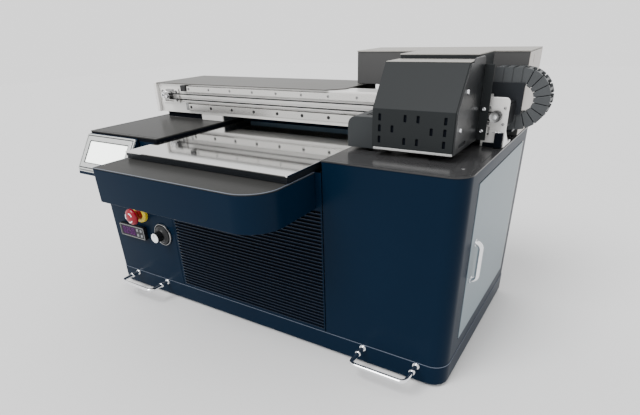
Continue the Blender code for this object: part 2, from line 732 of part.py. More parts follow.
def build_beam():
    """The fixed gantry: two pillars, the beam, its rails, the belt drive and the covers."""
    stand = (COLUMN_TOP + GAP, BEAM_BOTTOM - GAP)
    make("pillar_left", WHITE, block(LEFT_PILLAR_X, PILLAR_Y, stand))
    riser = block(
        (RIGHT_PILLAR_X[0] + 0.001, RIGHT_PILLAR_X[1] - 0.001),
        (CHAIN_FRONT, PILLAR_Y[1] - 0.0005),
        (COLUMN_TOP + 0.002, TRAY_Z[1] - 0.001),
    )
    tray = block(TRAY_X, (CHAIN_FRONT - 0.001, PILLAR_Y[1]), TRAY_Z)
    make("pillar_right", WHITE, block(RIGHT_PILLAR_X, PILLAR_Y, stand), add=[riser, tray])
    bore = block(
        (0.0, WIDTH),
        (BEAM_FACE + BEAM_WALL, BEAM_BACK - BEAM_WALL),
        (BEAM_BOTTOM + BEAM_WALL, BEAM_TOP - BEAM_WALL),
    )
    beam = block((BEAM_LEFT, BEAM_RIGHT), (BEAM_FACE, BEAM_BACK), (BEAM_BOTTOM, BEAM_TOP))
    make("beam", WHITE, beam, cut=[bore])
    fold = (COVER_Y[1] - 0.0015, COVER_Y[1])
    make(
        "beam_cover",
        COVER,
        block(COVER_X, COVER_Y, (BEAM_TOP + GAP, COVER_TOP)),
        add=[block(COVER_X, fold, (COLUMN_TOP + GAP, COVER_TOP))],
    )
    idler_plate = block(
        (END_PLATE_LEFT + SHEET, 0.080), (0.1862, BEAM_FACE - GAP), (BELT_Z - 0.016, BELT_Z + 0.016)
    )
    make(
        "end_plate_left",
        WHITE,
        block((END_PLATE_LEFT, BEAM_LEFT - GAP), (RAIL_FACE, 0.334), (BEAM_BOTTOM, COVER_TOP)),
        add=[idler_plate],
    )
    bracket_x = (BEAM_RIGHT + GAP, BRACKET_RIGHT)
    face = rectangle(bracket_x, (COLUMN_TOP + GAP, COVER_TOP), (0.0, 0.0, 0.006, 0.0), 4)
    foot = block(bracket_x, (BEAM_FACE - 0.001, BEAM_BACK), (COLUMN_TOP + GAP, COLUMN_TOP + 0.0045))
    make(
        "end_bracket_right",
        WHITE,
        prism(face, "y", BEAM_FACE - BEAM_WALL, BEAM_FACE),
        add=[foot],
        cut=[disc("y", MOTOR_X, BELT_Z, 0.0036, BEAM_FACE - 0.01, BEAM_FACE + 0.01, 16)],
    )
    for name, z, half in (("rail_upper", UPPER_RAIL_Z, 0.0060), ("rail_lower", LOWER_RAIL_Z, 0.0075)):
        rail = block((RAIL_LEFT, RAIL_RIGHT), (RAIL_FACE, BEAM_FACE - GAP), (z - half, z + half))
        make(name, STEEL, rail)
    inner = BELT_RADIUS - BELT_THICKNESS
    make(
        "x_belt",
        RUBBER,
        prism(stadium(IDLER_X, MOTOR_X, BELT_Z, BELT_RADIUS), "y", *BELT_Y),
        cut=[prism(stadium(IDLER_X, MOTOR_X, BELT_Z, inner), "y", BELT_Y[0] - 0.005, BELT_Y[1] + 0.005)],
    )
    build_pulleys(inner - GAP)
    half = 0.0175
    width = (MOTOR_X - half, BRACKET_RIGHT - 0.0005)
    case = rectangle(width, (BELT_Z - half, BELT_Z + half), (FOLD_RADIUS,) * 4, 2)
    make("x_motor", BLACK, prism(case, "y", BEAM_FACE + 2 * GAP, BEAM_BACK - 0.0010))
    build_rear_box()


def build_pulleys(core):
    """The belt's two flanged pulleys. The motor's has a shaft through the end bracket."""
    front = BELT_Y[0] - GAP
    back = BELT_Y[1] + GAP
    head = [(0.0, front - 0.0014), (FLANGE_RADIUS, front - 0.0014), (FLANGE_RADIUS, front), (core, front)]
    tail = [(core, back), (FLANGE_RADIUS, back), (FLANGE_RADIUS, back + 0.0017)]
    ends = {
        "idler_pulley": (IDLER_X, [(0.0, back + 0.0017)]),
        "motor_pulley": (MOTOR_X, [(0.0025, back + 0.0017), (0.0025, 0.1902), (0.0, 0.1902)]),
    }
    for name, (x, end) in ends.items():
        at = (x, 0.180, BELT_Z)
        frame = joint_frame(f"{name}_frame", at)
        make(name, STEEL, turned(head + tail + end, (x, BELT_Z)), origin=at, parent=frame)


def build_rear_box():
    """The tall box behind the beam: an upper part over the cover's end and a part on the column."""
    sheet = REAR_BOX_SHEET
    right = BRACKET_RIGHT
    upper_z = (BEAM_TOP + 0.0024, REAR_BOX_TOP)
    lower_left = BAY_RIGHT + 0.0014
    inside_y = (REAR_BOX_Y[0] + sheet, REAR_BOX_Y[1] - sheet)
    make(
        "rear_box",
        GREY,
        block((REAR_BOX_LEFT, right), REAR_BOX_Y, upper_z),
        add=[block((lower_left, right), REAR_BOX_Y, (COLUMN_TOP + GAP, 0.450))],
        cut=[
            block((REAR_BOX_LEFT + sheet, right - sheet), inside_y, (upper_z[0] + 0.002, upper_z[1] - sheet)),
            block((lower_left + sheet, right - sheet), inside_y, (COLUMN_TOP - 0.001, 0.450)),
        ],
    )


def build_carriage():
    """Everything that rides the beam on the two bearing blocks."""
    at = CARRIAGE_AT
    frame = joint_frame("carriage_frame", at)
    for name, z, half, rail in (
        ("block_upper", UPPER_RAIL_Z, 0.0085, 0.0063),
        ("block_lower", LOWER_RAIL_Z, 0.0105, 0.0078),
    ):
        past_ends = (BLOCK_X[0] - 0.005, BLOCK_X[1] + 0.01)
        channel = block(past_ends, (RAIL_FACE - GAP, 0.20), (z - rail, z + rail))
        body = block(BLOCK_X, (0.1720, 0.1880), (z - half, z + half))
        make(name, STEEL, body, cut=[channel], origin=at, parent=frame)
    plate = block((0.634, 0.752), PLATE_Y, (0.3755, 0.4440))
    make("carriage_plate", ALUMINIUM, plate, origin=at, parent=frame)
    build_carriage_cover(at, frame)
    make(
        "head_plate",
        ALUMINIUM,
        block((0.632, CARRIAGE_RIGHT), (0.0610, 0.1665), (0.3722, 0.3760)),
        cut=[block(HEAD_X, HEAD_Y, (0.36, 0.39))],
        origin=at,
        parent=frame,
    )
    gap = 2 * GAP
    rim = 0.006
    make(
        "printhead",
        BLACK,
        block((HEAD_X[0] + gap, HEAD_X[1] - gap), (HEAD_Y[0] + gap, HEAD_Y[1] - gap), HEAD_Z),
        add=[block((HEAD_X[0] - rim, HEAD_X[1] + rim), (HEAD_Y[0] - rim, HEAD_Y[1] + rim), (0.3763, 0.3820))],
        origin=at,
        parent=frame,
    )
    ink_box = block((0.632, 0.7540), INK_BOX_Y, INK_BOX_Z)
    make("ink_box", CHARCOAL, ink_box, origin=at, parent=frame)
    lamp = rectangle((LAMP_LEFT, CARRIAGE_LEFT - 0.0010), LAMP_Z, (0.0, 0.0, 0.0, LAMP_RADIUS))
    make("uv_lamp", CHARCOAL, prism(lamp, "y", *LAMP_Y), origin=at, parent=frame)


def build_carriage_cover(at, frame):
    """The folded hood over the print head, and the flanged panel on its right side."""
    outline = [
        (CARRIAGE_FRONT, CARRIAGE_FOOT),
        (CARRIAGE_FRONT, CARRIAGE_BEND_Z),
        (CARRIAGE_SLOPE_Y, CARRIAGE_TOP),
        (CARRIAGE_BACK, CARRIAGE_TOP),
        (CARRIAGE_BACK, CARRIAGE_FOOT),
    ]
    wall = CARRIAGE_SHEET
    hollow = [
        (CARRIAGE_FRONT + wall, CARRIAGE_FOOT - 0.01),
        (CARRIAGE_FRONT + wall, CARRIAGE_BEND_Z - 2 * GAP),
        (CARRIAGE_SLOPE_Y + 0.0010, CARRIAGE_TOP - wall),
        (CARRIAGE_BACK + 0.01, CARRIAGE_TOP - wall),
        (CARRIAGE_BACK + 0.01, CARRIAGE_FOOT - 0.01),
    ]
    make(
        "carriage_cover",
        CHARCOAL,
        prism(outline, "x", CARRIAGE_LEFT, CARRIAGE_RIGHT),
        cut=[prism(hollow, "x", CARRIAGE_LEFT + wall, CARRIAGE_RIGHT + 0.01)],
        origin=at,
        parent=frame,
    )
    front, back = SIDE_PANEL_Y
    low, high = SIDE_PANEL_Z
    lean = [(front, low), (front, CARRIAGE_BEND_Z), (CARRIAGE_SLOPE_Y, CARRIAGE_TOP - 0.002)]
    crown = 0.022
    fall = 0.026
    top = [(0.125 + crown * cos(t), high - crown + crown * sin(t)) for t in arc(2.3, pi / 2, 4)]
    rear = [(back - fall + fall * cos(t), high - fall + fall * sin(t)) for t in arc(pi / 2, 0.0, 6)]
    panel = lean + top + rear + [(back, low)]
    flange_x = (CARRIAGE_RIGHT + 0.0010, 0.7720)
    make(
        "carriage_side_panel",
        CHARCOAL,
        prism(panel, "x", CARRIAGE_RIGHT + 0.0008, CARRIAGE_RIGHT + 0.0030),
        add=[block(flange_x, (back - 0.0020, back - 0.0002), (low + 0.0005, 0.4700))],
        origin=at,
        parent=frame,
    )


def build_chain():
    """The chain's upper run, its bend and its lower run. Each run is a closed channel of links."""
    top = (CHAIN_BEND_Z + CHAIN_INNER, CHAIN_BEND_Z + CHAIN_OUTER)
    bottom = (CHAIN_BEND_Z - CHAIN_OUTER, CHAIN_BEND_Z - CHAIN_INNER)
    depth = (CHAIN_FRONT, CHAIN_BACK)
    upper = block((CHAIN_START, CHAIN_BEND_X - GAP), depth, top)
    make("chain_upper", CHAIN, upper, origin=CARRIAGE_AT)
    centre = (CHAIN_BEND_X, (CHAIN_FRONT + CHAIN_BACK) / 2, CHAIN_BEND_Z)
    frame = joint_frame("chain_frame", centre)
    outer = bend_points(CHAIN_OUTER, -pi / 2, pi / 2)
    inner = bend_points(CHAIN_INNER, pi / 2, -pi / 2)
    make("chain_bend", CHAIN, prism(outer + inner, "y", *depth), origin=centre, parent=frame)
    make("chain_lower", CHAIN, block((CHAIN_FIXED_END, CHAIN_BEND_X - GAP), depth, bottom))


def bend_points(radius, start, end):
    return [(CHAIN_BEND_X + radius * cos(t), CHAIN_BEND_Z + radius * sin(t)) for t in arc(start, end, 14)]


clear_scene()
build_cabinet()
build_handles()
build_door()
build_housing()
build_controls()
build_console()
build_table()
build_beam()
build_carriage()
build_chain()
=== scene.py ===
from math import cos, floor, pi, radians, sin

import bmesh
import bpy
from mathutils import Euler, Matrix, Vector


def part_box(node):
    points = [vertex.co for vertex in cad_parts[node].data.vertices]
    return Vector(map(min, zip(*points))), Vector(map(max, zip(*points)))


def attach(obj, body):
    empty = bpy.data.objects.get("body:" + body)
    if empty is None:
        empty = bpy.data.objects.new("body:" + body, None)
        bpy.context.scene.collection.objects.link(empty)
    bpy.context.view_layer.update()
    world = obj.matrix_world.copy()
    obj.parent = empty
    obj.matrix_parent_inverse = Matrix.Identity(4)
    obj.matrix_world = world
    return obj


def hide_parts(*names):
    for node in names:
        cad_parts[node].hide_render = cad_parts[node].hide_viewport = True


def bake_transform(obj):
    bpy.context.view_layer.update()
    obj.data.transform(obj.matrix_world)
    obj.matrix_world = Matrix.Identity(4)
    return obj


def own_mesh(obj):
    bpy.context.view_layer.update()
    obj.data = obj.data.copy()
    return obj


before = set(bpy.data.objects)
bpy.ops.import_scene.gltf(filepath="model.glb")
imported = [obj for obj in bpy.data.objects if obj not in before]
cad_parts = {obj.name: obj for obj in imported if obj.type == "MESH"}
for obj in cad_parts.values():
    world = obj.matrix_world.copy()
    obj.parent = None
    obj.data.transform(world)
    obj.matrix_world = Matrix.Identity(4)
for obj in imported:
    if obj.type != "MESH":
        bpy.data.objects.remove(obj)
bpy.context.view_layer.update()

AXES = {"x": (1, 2, 0), "y": (0, 2, 1), "z": (0, 1, 2)}
SCENE = bpy.context.scene

# Edges and joints between sheets
SHARP_RADIUS = 0.004
CORNER_RADIUS = 0.028
HOUSING_RADIUS = 0.055
SHEET = 0.002
EDGE = 0.0008
SEAM_STEP = 0.0009
PLATE = 0.0022
# Height of the band of painted shade under the left deck's lid
DECK_SHADE_BAND = 0.0065
CLEAR = 0.0004

# How far a cutter passes what it cuts, and how much edges are broken
OVER = 0.01
HAIR = 0.0003
CRISP = 0.0004
FINE = 0.0005
SOFT = 0.0006
ROUND = 0.0010


class Box:
    """A CAD node's extent at rest."""

    def __init__(self, node):
        low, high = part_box(node)
        self.x0, self.y0, self.z0 = low
        self.x1, self.y1, self.z1 = high

    def x(self, low=0.0, high=None):
        """The span along X, drawn in by low and high at its two ends. One number is for both."""
        return (self.x0 + low, self.x1 - (low if high is None else high))

    def y(self, low=0.0, high=None):
        return (self.y0 + low, self.y1 - (low if high is None else high))

    def z(self, low=0.0, high=None):
        return (self.z0 + low, self.z1 - (low if high is None else high))

    def slab(self, x=None, y=None, z=None):
        """A slab over this extent, with another span along the axes that are given one."""
        return slab(x or self.x(), y or self.y(), z or self.z())

    def middle(self):
        return Vector(((self.x0 + self.x1) / 2, (self.y0 + self.y1) / 2, (self.z0 + self.z1) / 2))


# ---------------------------------------------------------------- shapes


def arc(centre, radius, start, end, steps):
    """Points along an arc, in degrees."""
    angles = [radians(start + (end - start) * k / steps) for k in range(steps + 1)]
    return [(centre[0] + radius * cos(t), centre[1] + radius * sin(t)) for t in angles]


def rounded(a, b, radii=(0.0, 0.0, 0.0, 0.0), steps=10):
    """A rectangle's outline from the low corner anticlockwise, each corner with its own radius."""
    corners = ((a[0], b[0]), (a[1], b[0]), (a[1], b[1]), (a[0], b[1]))
    inwards = ((1, 1), (-1, 1), (-1, -1), (1, -1))
    points = []
    for i, (corner, way, radius) in enumerate(zip(corners, inwards, radii)):
        if radius <= 0.0:
            points.append(corner)
            continue
        centre = (corner[0] + way[0] * radius, corner[1] + way[1] * radius)
        points += arc(centre, radius, 180 + 90 * i, 270 + 90 * i, steps)
    return points


def prism(outline, axis, low, high):
    """Runs a closed outline from low to high along an axis. The outline is in the other two axes."""
    first, second, along = AXES[axis]
    bm = bmesh.new()
    rings = []
    for level in (low, high):
        ring = []
        for a, b in outline:
            point = [0.0, 0.0, 0.0]
            point[first], point[second], point[along] = a, b, level
            ring.append(bm.verts.new(point))
        rings.append(ring)
    bm.faces.new(rings[0])
    bm.faces.new(reversed(rings[1]))
    count = len(outline)
    for i in range(count):
        j = (i + 1) % count
        bm.faces.new((rings[0][i], rings[1][i], rings[1][j], rings[0][j]))
    bmesh.ops.recalc_face_normals(bm, faces=bm.faces)
    return bm


def slab(x, y, z):
    return prism(rounded(x, y), "z", z[0], z[1])


def rod(axis, a, b, radius, low, high, steps=32):
    return prism(arc((a, b), radius, 0, 360 - 360 / steps, steps - 1), axis, low, high)


def turned(profile, axis, a, b, steps=48):
    """Turns (radius, place along the axis) pairs about a line through (a, b)."""
    first, second, along = AXES[axis]
    bm = bmesh.new()
    rings = []
    for radius, place in profile:
        ring = []
        for k in range(steps if radius > 0 else 1):
            point = [0.0, 0.0, 0.0]
            point[first] = a + radius * cos(2 * pi * k / steps)
            point[second] = b + radius * sin(2 * pi * k / steps)
            point[along] = place
            ring.append(bm.verts.new(point))
        rings.append(ring)
    for one, two in zip(rings, rings[1:]):
        for k in range(steps):
            corners = [one[k % len(one)], one[(k + 1) % len(one)], two[(k + 1) % len(two)],
                       two[k % len(two)]]
            corners = list(dict.fromkeys(corners))
            if len(corners) > 2:
                bm.faces.new(corners)
    if len(rings[0]) > 1 and len(rings[-1]) > 1:
        for k in range(steps):
            one, two = rings[-1], rings[0]
            bm.faces.new((one[k], one[(k + 1) % steps], two[(k + 1) % steps], two[k]))
    bmesh.ops.recalc_face_normals(bm, faces=bm.faces)
    return bm


def smooth_path(points, bend, steps=8):
    """The points with each corner rounded."""
    path = [Vector(points[0])]
    for before, corner, after in zip(points, points[1:], points[2:]):
        corner = Vector(corner)
        back = (Vector(before) - corner).normalized()
        ahead = (Vector(after) - corner).normalized()
        centre = corner + (back + ahead) * bend
        for k in range(steps + 1):
            angle = pi / 2 * k / steps
            path.append(centre - ahead * bend * cos(angle) - back * bend * sin(angle))
    path.append(Vector(points[-1]))
    return path


def tube(path, width, height, up=(0.0, 0.0, 1.0), steps=20):
    """A rod of oval section along a path that lies in a plane whose normal is up."""
    bm = bmesh.new()
    up = Vector(up)
    rings = []
    for i, at in enumerate(path):
        ahead = (path[min(i + 1, len(path) - 1)] - path[max(i - 1, 0)]).normalized()
        side = ahead.cross(up)
        ring = []
        for k in range(steps):
            angle = 2 * pi * k / steps
            ring.append(bm.verts.new(at + side * width * cos(angle) + up * height * sin(angle)))
        rings.append(ring)
    for one, two in zip(rings, rings[1:]):
        for k in range(steps):
            bm.faces.new((one[k], one[(k + 1) % steps], two[(k + 1) % steps], two[k]))
    bm.faces.new(rings[0])
    bm.faces.new(reversed(rings[-1]))
    bmesh.ops.recalc_face_normals(bm, faces=bm.faces)
    return bm


def merged(shapes):
    """One mesh holding several shapes."""
    whole = bmesh.new()
    for shape in shapes:
        mesh = bpy.data.meshes.new("part")
        shape.to_mesh(mesh)
        shape.free()
        whole.from_mesh(mesh)
        bpy.data.meshes.remove(mesh)
    return whole


def combined(bm, shapes, operation="DIFFERENCE"):
    """The shape with others cut from it or joined to it."""
    pair = []
    for shape in (bm, merged(shapes)):
        mesh = bpy.data.meshes.new("part")
        shape.to_mesh(mesh)
        shape.free()
        pair.append(bpy.data.objects.new("part", mesh))
        SCENE.collection.objects.link(pair[-1])
    target, tool = pair
    modifier = target.modifiers.new("cut", "BOOLEAN")
    modifier.operation = operation
    modifier.object = tool
    result = bmesh.new()
    result.from_object(target, bpy.context.evaluated_depsgraph_get())
    for used in pair:
        bpy.data.objects.remove(used, do_unlink=True)
    return result


def piece(name, bm, paint, stands_for=(), bevel=0.0, segments=2, angle=34, body="cabinet", slot=None):
    """Names a shape, gives it its finish and rides it on its body. A finish has a usual slot."""
    slot = slot or USUAL_SLOT[paint.name]
    mesh = bpy.data.meshes.new(name)
    bmesh.ops.recalc_face_normals(bm, faces=bm.faces)
    bm.to_mesh(mesh)
    bm.free()
    made = bpy.data.objects.new(name, mesh)
    SCENE.collection.objects.link(made)
    mesh.materials.append(paint)
    mesh.shade_smooth()
    if bevel:
        modifier = made.modifiers.new("edges", "BEVEL")
        modifier.width = bevel
        modifier.segments = segments
        modifier.limit_method = "ANGLE"
        modifier.angle_limit = radians(angle)
        modifier.harden_normals = True
    else:
        mesh.set_sharp_from_angle(angle=radians(angle))
    if body:
        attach(made, body)
    if stands_for:
        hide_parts(*stands_for)
    return made


# ---------------------------------------------------------------- finishes


USUAL_SLOT = {}


def finish(name, slot, colour, rough, metallic=0.0, vary=0.10, broad=7.0, grain=(900, 900, 900),
           bump=0.03, rough_vary=0.06, gloss=0.5, coat=0.0, glow=0.0):
    """A surface whose colour drifts softly, with uneven roughness and a fine relief.

    Grain is how many times a metre the fine relief repeats along each axis.
    """
    made = bpy.data.materials.new(name)
    USUAL_SLOT[made.name] = slot
    made.use_nodes = True
    nodes, links = made.node_tree.nodes, made.node_tree.links
    shader = nodes["Principled BSDF"]
    shader.inputs["Metallic"].default_value = metallic
    shader.inputs["Specular IOR Level"].default_value = gloss
    shader.inputs["Coat Weight"].default_value = coat
    shader.inputs["Coat Roughness"].default_value = 0.06
    shader.inputs["Emission Strength"].default_value = glow
    shader.inputs["Emission Color"].default_value = (*colour, 1.0)
    place = nodes.new("ShaderNodeTexCoord")

    drift = nodes.new("ShaderNodeTexNoise")
    drift.inputs["Scale"].default_value = broad
    drift.inputs["Detail"].default_value = 4.0
    links.new(place.outputs["Object"], drift.inputs["Vector"])
    mix = nodes.new("ShaderNodeMix")
    mix.data_type = "RGBA"
    mix.inputs["A"].default_value = (*[c * (1 - vary) for c in colour], 1.0)
    mix.inputs["B"].default_value = (*[min(c * (1 + vary), 1.0) for c in colour], 1.0)
    links.new(drift.outputs["Fac"], mix.inputs["Factor"])
    links.new(mix.outputs["Result"], shader.inputs["Base Color"])

    stretch = nodes.new("ShaderNodeMapping")
    stretch.inputs["Scale"].default_value = grain
    links.new(place.outputs["Object"], stretch.inputs["Vector"])
    fine = nodes.new("ShaderNodeTexNoise")
    fine.inputs["Scale"].default_value = 1.0
    fine.inputs["Detail"].default_value = 3.0
    links.new(stretch.outputs["Vector"], fine.inputs["Vector"])
    span = nodes.new("ShaderNodeMapRange")
    span.inputs["To Min"].default_value = max(rough - rough_vary, 0.02)
    span.inputs["To Max"].default_value = rough + rough_vary
    links.new(fine.outputs["Fac"], span.inputs["Value"])
    links.new(span.outputs["Result"], shader.inputs["Roughness"])
    relief = nodes.new("ShaderNodeBump")
    relief.inputs["Strength"].default_value = bump
    relief.inputs["Distance"].default_value = 0.0002
    links.new(fine.outputs["Fac"], relief.inputs["Height"])
    links.new(relief.outputs["Normal"], shader.inputs["Normal"])
    return made


ALONG_X = (9, 900, 900)

NAVY = finish("navy_powder_coat", "navy powder coat", (0.0013, 0.0080, 0.0200), 0.34, vary=0.10,
              bump=0.08, gloss=0.05)
# Two copies of one top plate, both a lighter grey than the navy sides: partly a real polish, partly painted
# light for the light the tops catch. The second copy is duller, as painted shade on the left deck and the
# housing.
TOP = finish("polished_top_painted_light", "navy powder coat", (0.034, 0.034, 0.035), 0.20, 0.12, vary=0.05,
             grain=ALONG_X, bump=0.02, rough_vary=0.04, gloss=0.14)
DECK = finish("left_tops_painted_shade", "navy powder coat", (0.032, 0.032, 0.031), 0.30, 0.01, vary=0.06,
              grain=ALONG_X, bump=0.02, rough_vary=0.03, gloss=0.02)
# Painted highlight: the bright lines along the louvre scoops' rims.
LOUVRE_HIGHLIGHT = finish("painted_edge_highlight", "navy powder coat", (0.060, 0.068, 0.085), 0.30, 0.6, vary=0.06, bump=0.03)
CHARCOAL = finish("charcoal_powder_coat", "charcoal powder coat", (0.0170, 0.0190, 0.0200), 0.46,
                  vary=0.10, bump=0.12, gloss=0.08)
# Painted highlight: a light blue-grey for the bright lines where the plinth's and the housing's top edges
# catch the light.
EDGE_HIGHLIGHT = finish("painted_rim_highlight", "navy powder coat", (0.105, 0.125, 0.165), 0.34, vary=0.20, broad=3.0, bump=0.05)
GRAPHITE = finish("graphite_powder_coat", "charcoal powder coat", (0.026, 0.029, 0.031), 0.44, vary=0.10,
                  bump=0.12, gloss=0.2)
GREY = finish("grey_powder_coat", "grey powder coat", (0.060, 0.060, 0.060), 0.50, vary=0.08, bump=0.12,
              gloss=0.15)
# Painted highlight: the lids are a pale grey for the light reflected off the tops.
LIDGREY = finish("lid_grey_painted_highlight", "charcoal powder coat", (0.30, 0.29, 0.27), 0.45, 0.1, vary=0.05,
                 bump=0.04, gloss=0.1)
PALE = finish("pale_door_paint", "pale grey paint", (0.150, 0.195, 0.222), 0.36, vary=0.07, bump=0.06,
              gloss=0.4)
SIDE = finish("pale_side_panel", "grey powder coat", (0.46, 0.43, 0.40), 0.45, vary=0.06, bump=0.05)
WHITE = finish("white_anodised", "white anodised aluminium", (0.78, 0.77, 0.75), 0.30, 0.35, vary=0.03,
               grain=ALONG_X, bump=0.03)
COVER = finish("cover_sheet", "cover sheet", (0.080, 0.078, 0.072), 0.32, 0.03, vary=0.05, grain=ALONG_X,
               bump=0.03, gloss=0.04)
TABLE = finish("polished_table", "polished aluminium", (0.66, 0.66, 0.65), 0.07, 1.0, vary=0.04,
               grain=ALONG_X, bump=0.008, rough_vary=0.02)
ALUMINIUM = finish("milled_aluminium", "polished aluminium", (0.86, 0.86, 0.85), 0.24, 1.0, vary=0.05,
                   grain=ALONG_X, bump=0.05)
STEEL = finish("ground_steel", "ground steel", (0.62, 0.61, 0.59), 0.24, 1.0, vary=0.08, grain=ALONG_X,
               bump=0.04)
SCREW = finish("screw_steel", "chrome", (0.34, 0.34, 0.34), 0.28, 1.0, vary=0.10, bump=0.05)
DARKSCREW = finish("black_oxide", "black plastic", (0.025, 0.025, 0.026), 0.38, 0.6, vary=0.12, bump=0.05)
CHROME = finish("chrome", "chrome", (0.84, 0.85, 0.87), 0.10, 1.0, vary=0.02, bump=0.01, rough_vary=0.02)
RUBBER = finish("black_rubber", "black rubber", (0.010, 0.010, 0.011), 0.80, vary=0.15, bump=0.20,
                gloss=0.2)
BLACK = finish("black_moulding", "black plastic", (0.0075, 0.008, 0.009), 0.38, vary=0.12, bump=0.10,
               gloss=0.3)
ANODISED = finish("black_anodised", "ground steel", (0.010, 0.012, 0.015), 0.36, 0.4, vary=0.12,
                  bump=0.05, gloss=0.3)
NYLON = finish("chain_nylon", "chain nylon", (0.050, 0.054, 0.057), 0.42, vary=0.18, broad=45.0,
               bump=0.14, gloss=0.35)
RED = finish("red_button", "red plastic", (0.22, 0.002, 0.012), 0.24, vary=0.08, bump=0.03, gloss=0.3)
YELLOW = finish("yellow_collar", "yellow plastic", (0.62, 0.47, 0.025), 0.34, vary=0.05, bump=0.04)
SILVER = finish("silver_bezel", "navy plastic", (0.50, 0.51, 0.50), 0.30, 0.3, vary=0.05, bump=0.03)
SHADE = finish("dark_outline", "black plastic", (0.012, 0.014, 0.017), 0.50, vary=0.15, bump=0.05,
               gloss=0.2)
# Painted shade: the colour of the sheet that stands for the shaded gap under the beam.
GAP = finish("painted_gap_shade", "black plastic", (0.120, 0.180, 0.240), 0.50, vary=0.10, bump=0.05, gloss=0.1)
# Black for dark parts, and painted shade where it fills slots, seams and gaps.
DARK = finish("black_and_painted_shade", "black plastic", (0.0025, 0.0035, 0.006), 0.80, vary=0.20, bump=0.10,
              gloss=0.05)
SCREEN = finish("lit_screen", "screen glass", (0.92, 0.96, 0.92), 0.10, vary=0.02, broad=14.0, bump=0.0,
                glow=2.2)
PURPLE = finish("led_window", "black plastic", (0.016, 0.0012, 0.024), 0.20, vary=0.20, broad=60.0,
                bump=0.0, glow=0.4, gloss=0.1)
DIGIT = finish("led_digits", "screen glass", (0.075, 0.008, 0.085), 0.30, vary=0.06, bump=0.0, glow=0.6,
               gloss=0.1)
KEY = finish("grey_key", "black plastic", (0.17, 0.175, 0.185), 0.36, vary=0.06, bump=0.06, gloss=0.3)
BOTTLE = finish("milky_bottle", "white anodised aluminium", (0.42, 0.43, 0.45), 0.36, vary=0.06, bump=0.06)
CHEEK = finish("satin_black_cheek", "charcoal powder coat", (0.0095, 0.0105, 0.0115), 0.30, vary=0.12,
               bump=0.08, gloss=0.35)
CAP = finish("white_cap", "white anodised aluminium", (0.80, 0.82, 0.84), 0.26, vary=0.03, bump=0.03)
AMBER = finish("lamp_glass", "screen glass", (0.030, 0.018, 0.040), 0.10, vary=0.2, bump=0.0)


# ---------------------------------------------------------------- cabinet


def top_plate(name, outline, inner, low, high, paint):
    """A polished lid with a fine pressed line near its edge."""
    line = combined(prism(inner(0.0070), "z", high - 0.0006, high + 0.001),
                    [prism(inner(0.0080), "z", low, high + 0.002)])
    piece(name, combined(prism(outline, "z", low, high), [line]), paint, bevel=0.0007, segments=3)


def build_plinth():
    base = Box("plinth")
    radii = (SHARP_RADIUS, CORNER_RADIUS, SHARP_RADIUS, SHARP_RADIUS)
    outline = rounded(base.x(), base.y(), radii)
    piece("plinth_pan", prism(outline, "z", base.z0, base.z1), NAVY, ["plinth"], bevel=0.0012, segments=3)

    inside = rounded(base.x(EDGE), base.y(EDGE), [r - EDGE for r in radii])
    # A thin ring round the plinth's top edge, painted light as the highlight along that edge.
    rim = combined(prism(outline, "z", base.z1 - 0.0006, base.z1 + 0.0001),
                   [prism(inside, "z", base.z0, base.z1 + OVER)])
    piece("plinth_rim_highlight", rim, EDGE_HIGHLIGHT)


def build_left_column():
    left = Box("left_column")

    def left_outline(inset):
        corner = max(SHARP_RADIUS - inset, 0.001)
        return rounded((left.x0 + inset, left.x1 - inset * 0.2), left.y(inset),
                       (corner, 0.003, 0.003, corner))

    # The wall's top, just under the lid, is a dark band of painted shade along the deck's shaded edge.
    shade_band_z = left.z1 - PLATE - DECK_SHADE_BAND
    piece("left_column_shell", prism(left_outline(SEAM_STEP), "z", left.z0, shade_band_z), NAVY,
          ["left_column"], bevel=EDGE)
    piece("left_column_shade_band", prism(left_outline(SEAM_STEP), "z", shade_band_z + 0.0001, left.z1 - PLATE),
          DARK, bevel=CRISP)
    # The deck's lid takes the duller top copy, painted shade on the left tops.
    top_plate("left_column_top", left_outline(0.0), left_outline, left.z1 - PLATE + 0.0001, left.z1, DECK)


def build_right_column():
    right = Box("right_column")
    door = Box("service_door")

    def right_outline(inset):
        corner = max(SHARP_RADIUS - inset, 0.001)
        return rounded((right.x0 + inset * 0.2, right.x1 - inset), right.y(inset),
                       (0.003, CORNER_RADIUS - inset, corner, 0.003), 14)

    inner = prism(right_outline(SHEET + SEAM_STEP), "z", right.z0 - SHEET, right.z1 - 2 * SHEET)
    doorway = slab((right.x1 - 3 * SHEET, right.x1 + SHEET), door.y(-0.001, -0.005), door.z(-0.001))
    shell = combined(prism(right_outline(SEAM_STEP), "z", right.z0, right.z1 - PLATE), [inner])
    shell = combined(shell, [doorway])
    piece("right_column_shell", shell, NAVY, ["right_column"], bevel=SOFT)
    plate_z = right.z1 - PLATE + 0.0001
    # The right column's lid takes the brighter top copy, painted light on the tops.
    top_plate("right_column_top", right_outline(0.0), right_outline, plate_z, right.z1, TOP)
    build_bottles()
    places = [(right.x1 - 0.0223, right.y0 + 0.0453)]
    bolt_heads("column_top_screw", "z", right.z1 - 0.0004, places, 0.0028, 0.0010)


def build_feet():
    for end in ("front", "rear"):
        for side in ("left", "right"):
            foot = Box(f"foot_{end}_{side}")
            at = foot.middle()
            radius = (foot.x1 - foot.x0) / 2
            profile = [(0.0, foot.z0), (radius * 0.86, foot.z0), (radius, foot.z0 + 0.0014),
                       (radius * 0.94, foot.z1), (0.0, foot.z1)]
            piece(f"rubber_foot_{end}_{side}", turned(profile, "z", at.x, at.y), RUBBER,
                  [f"foot_{end}_{side}"])


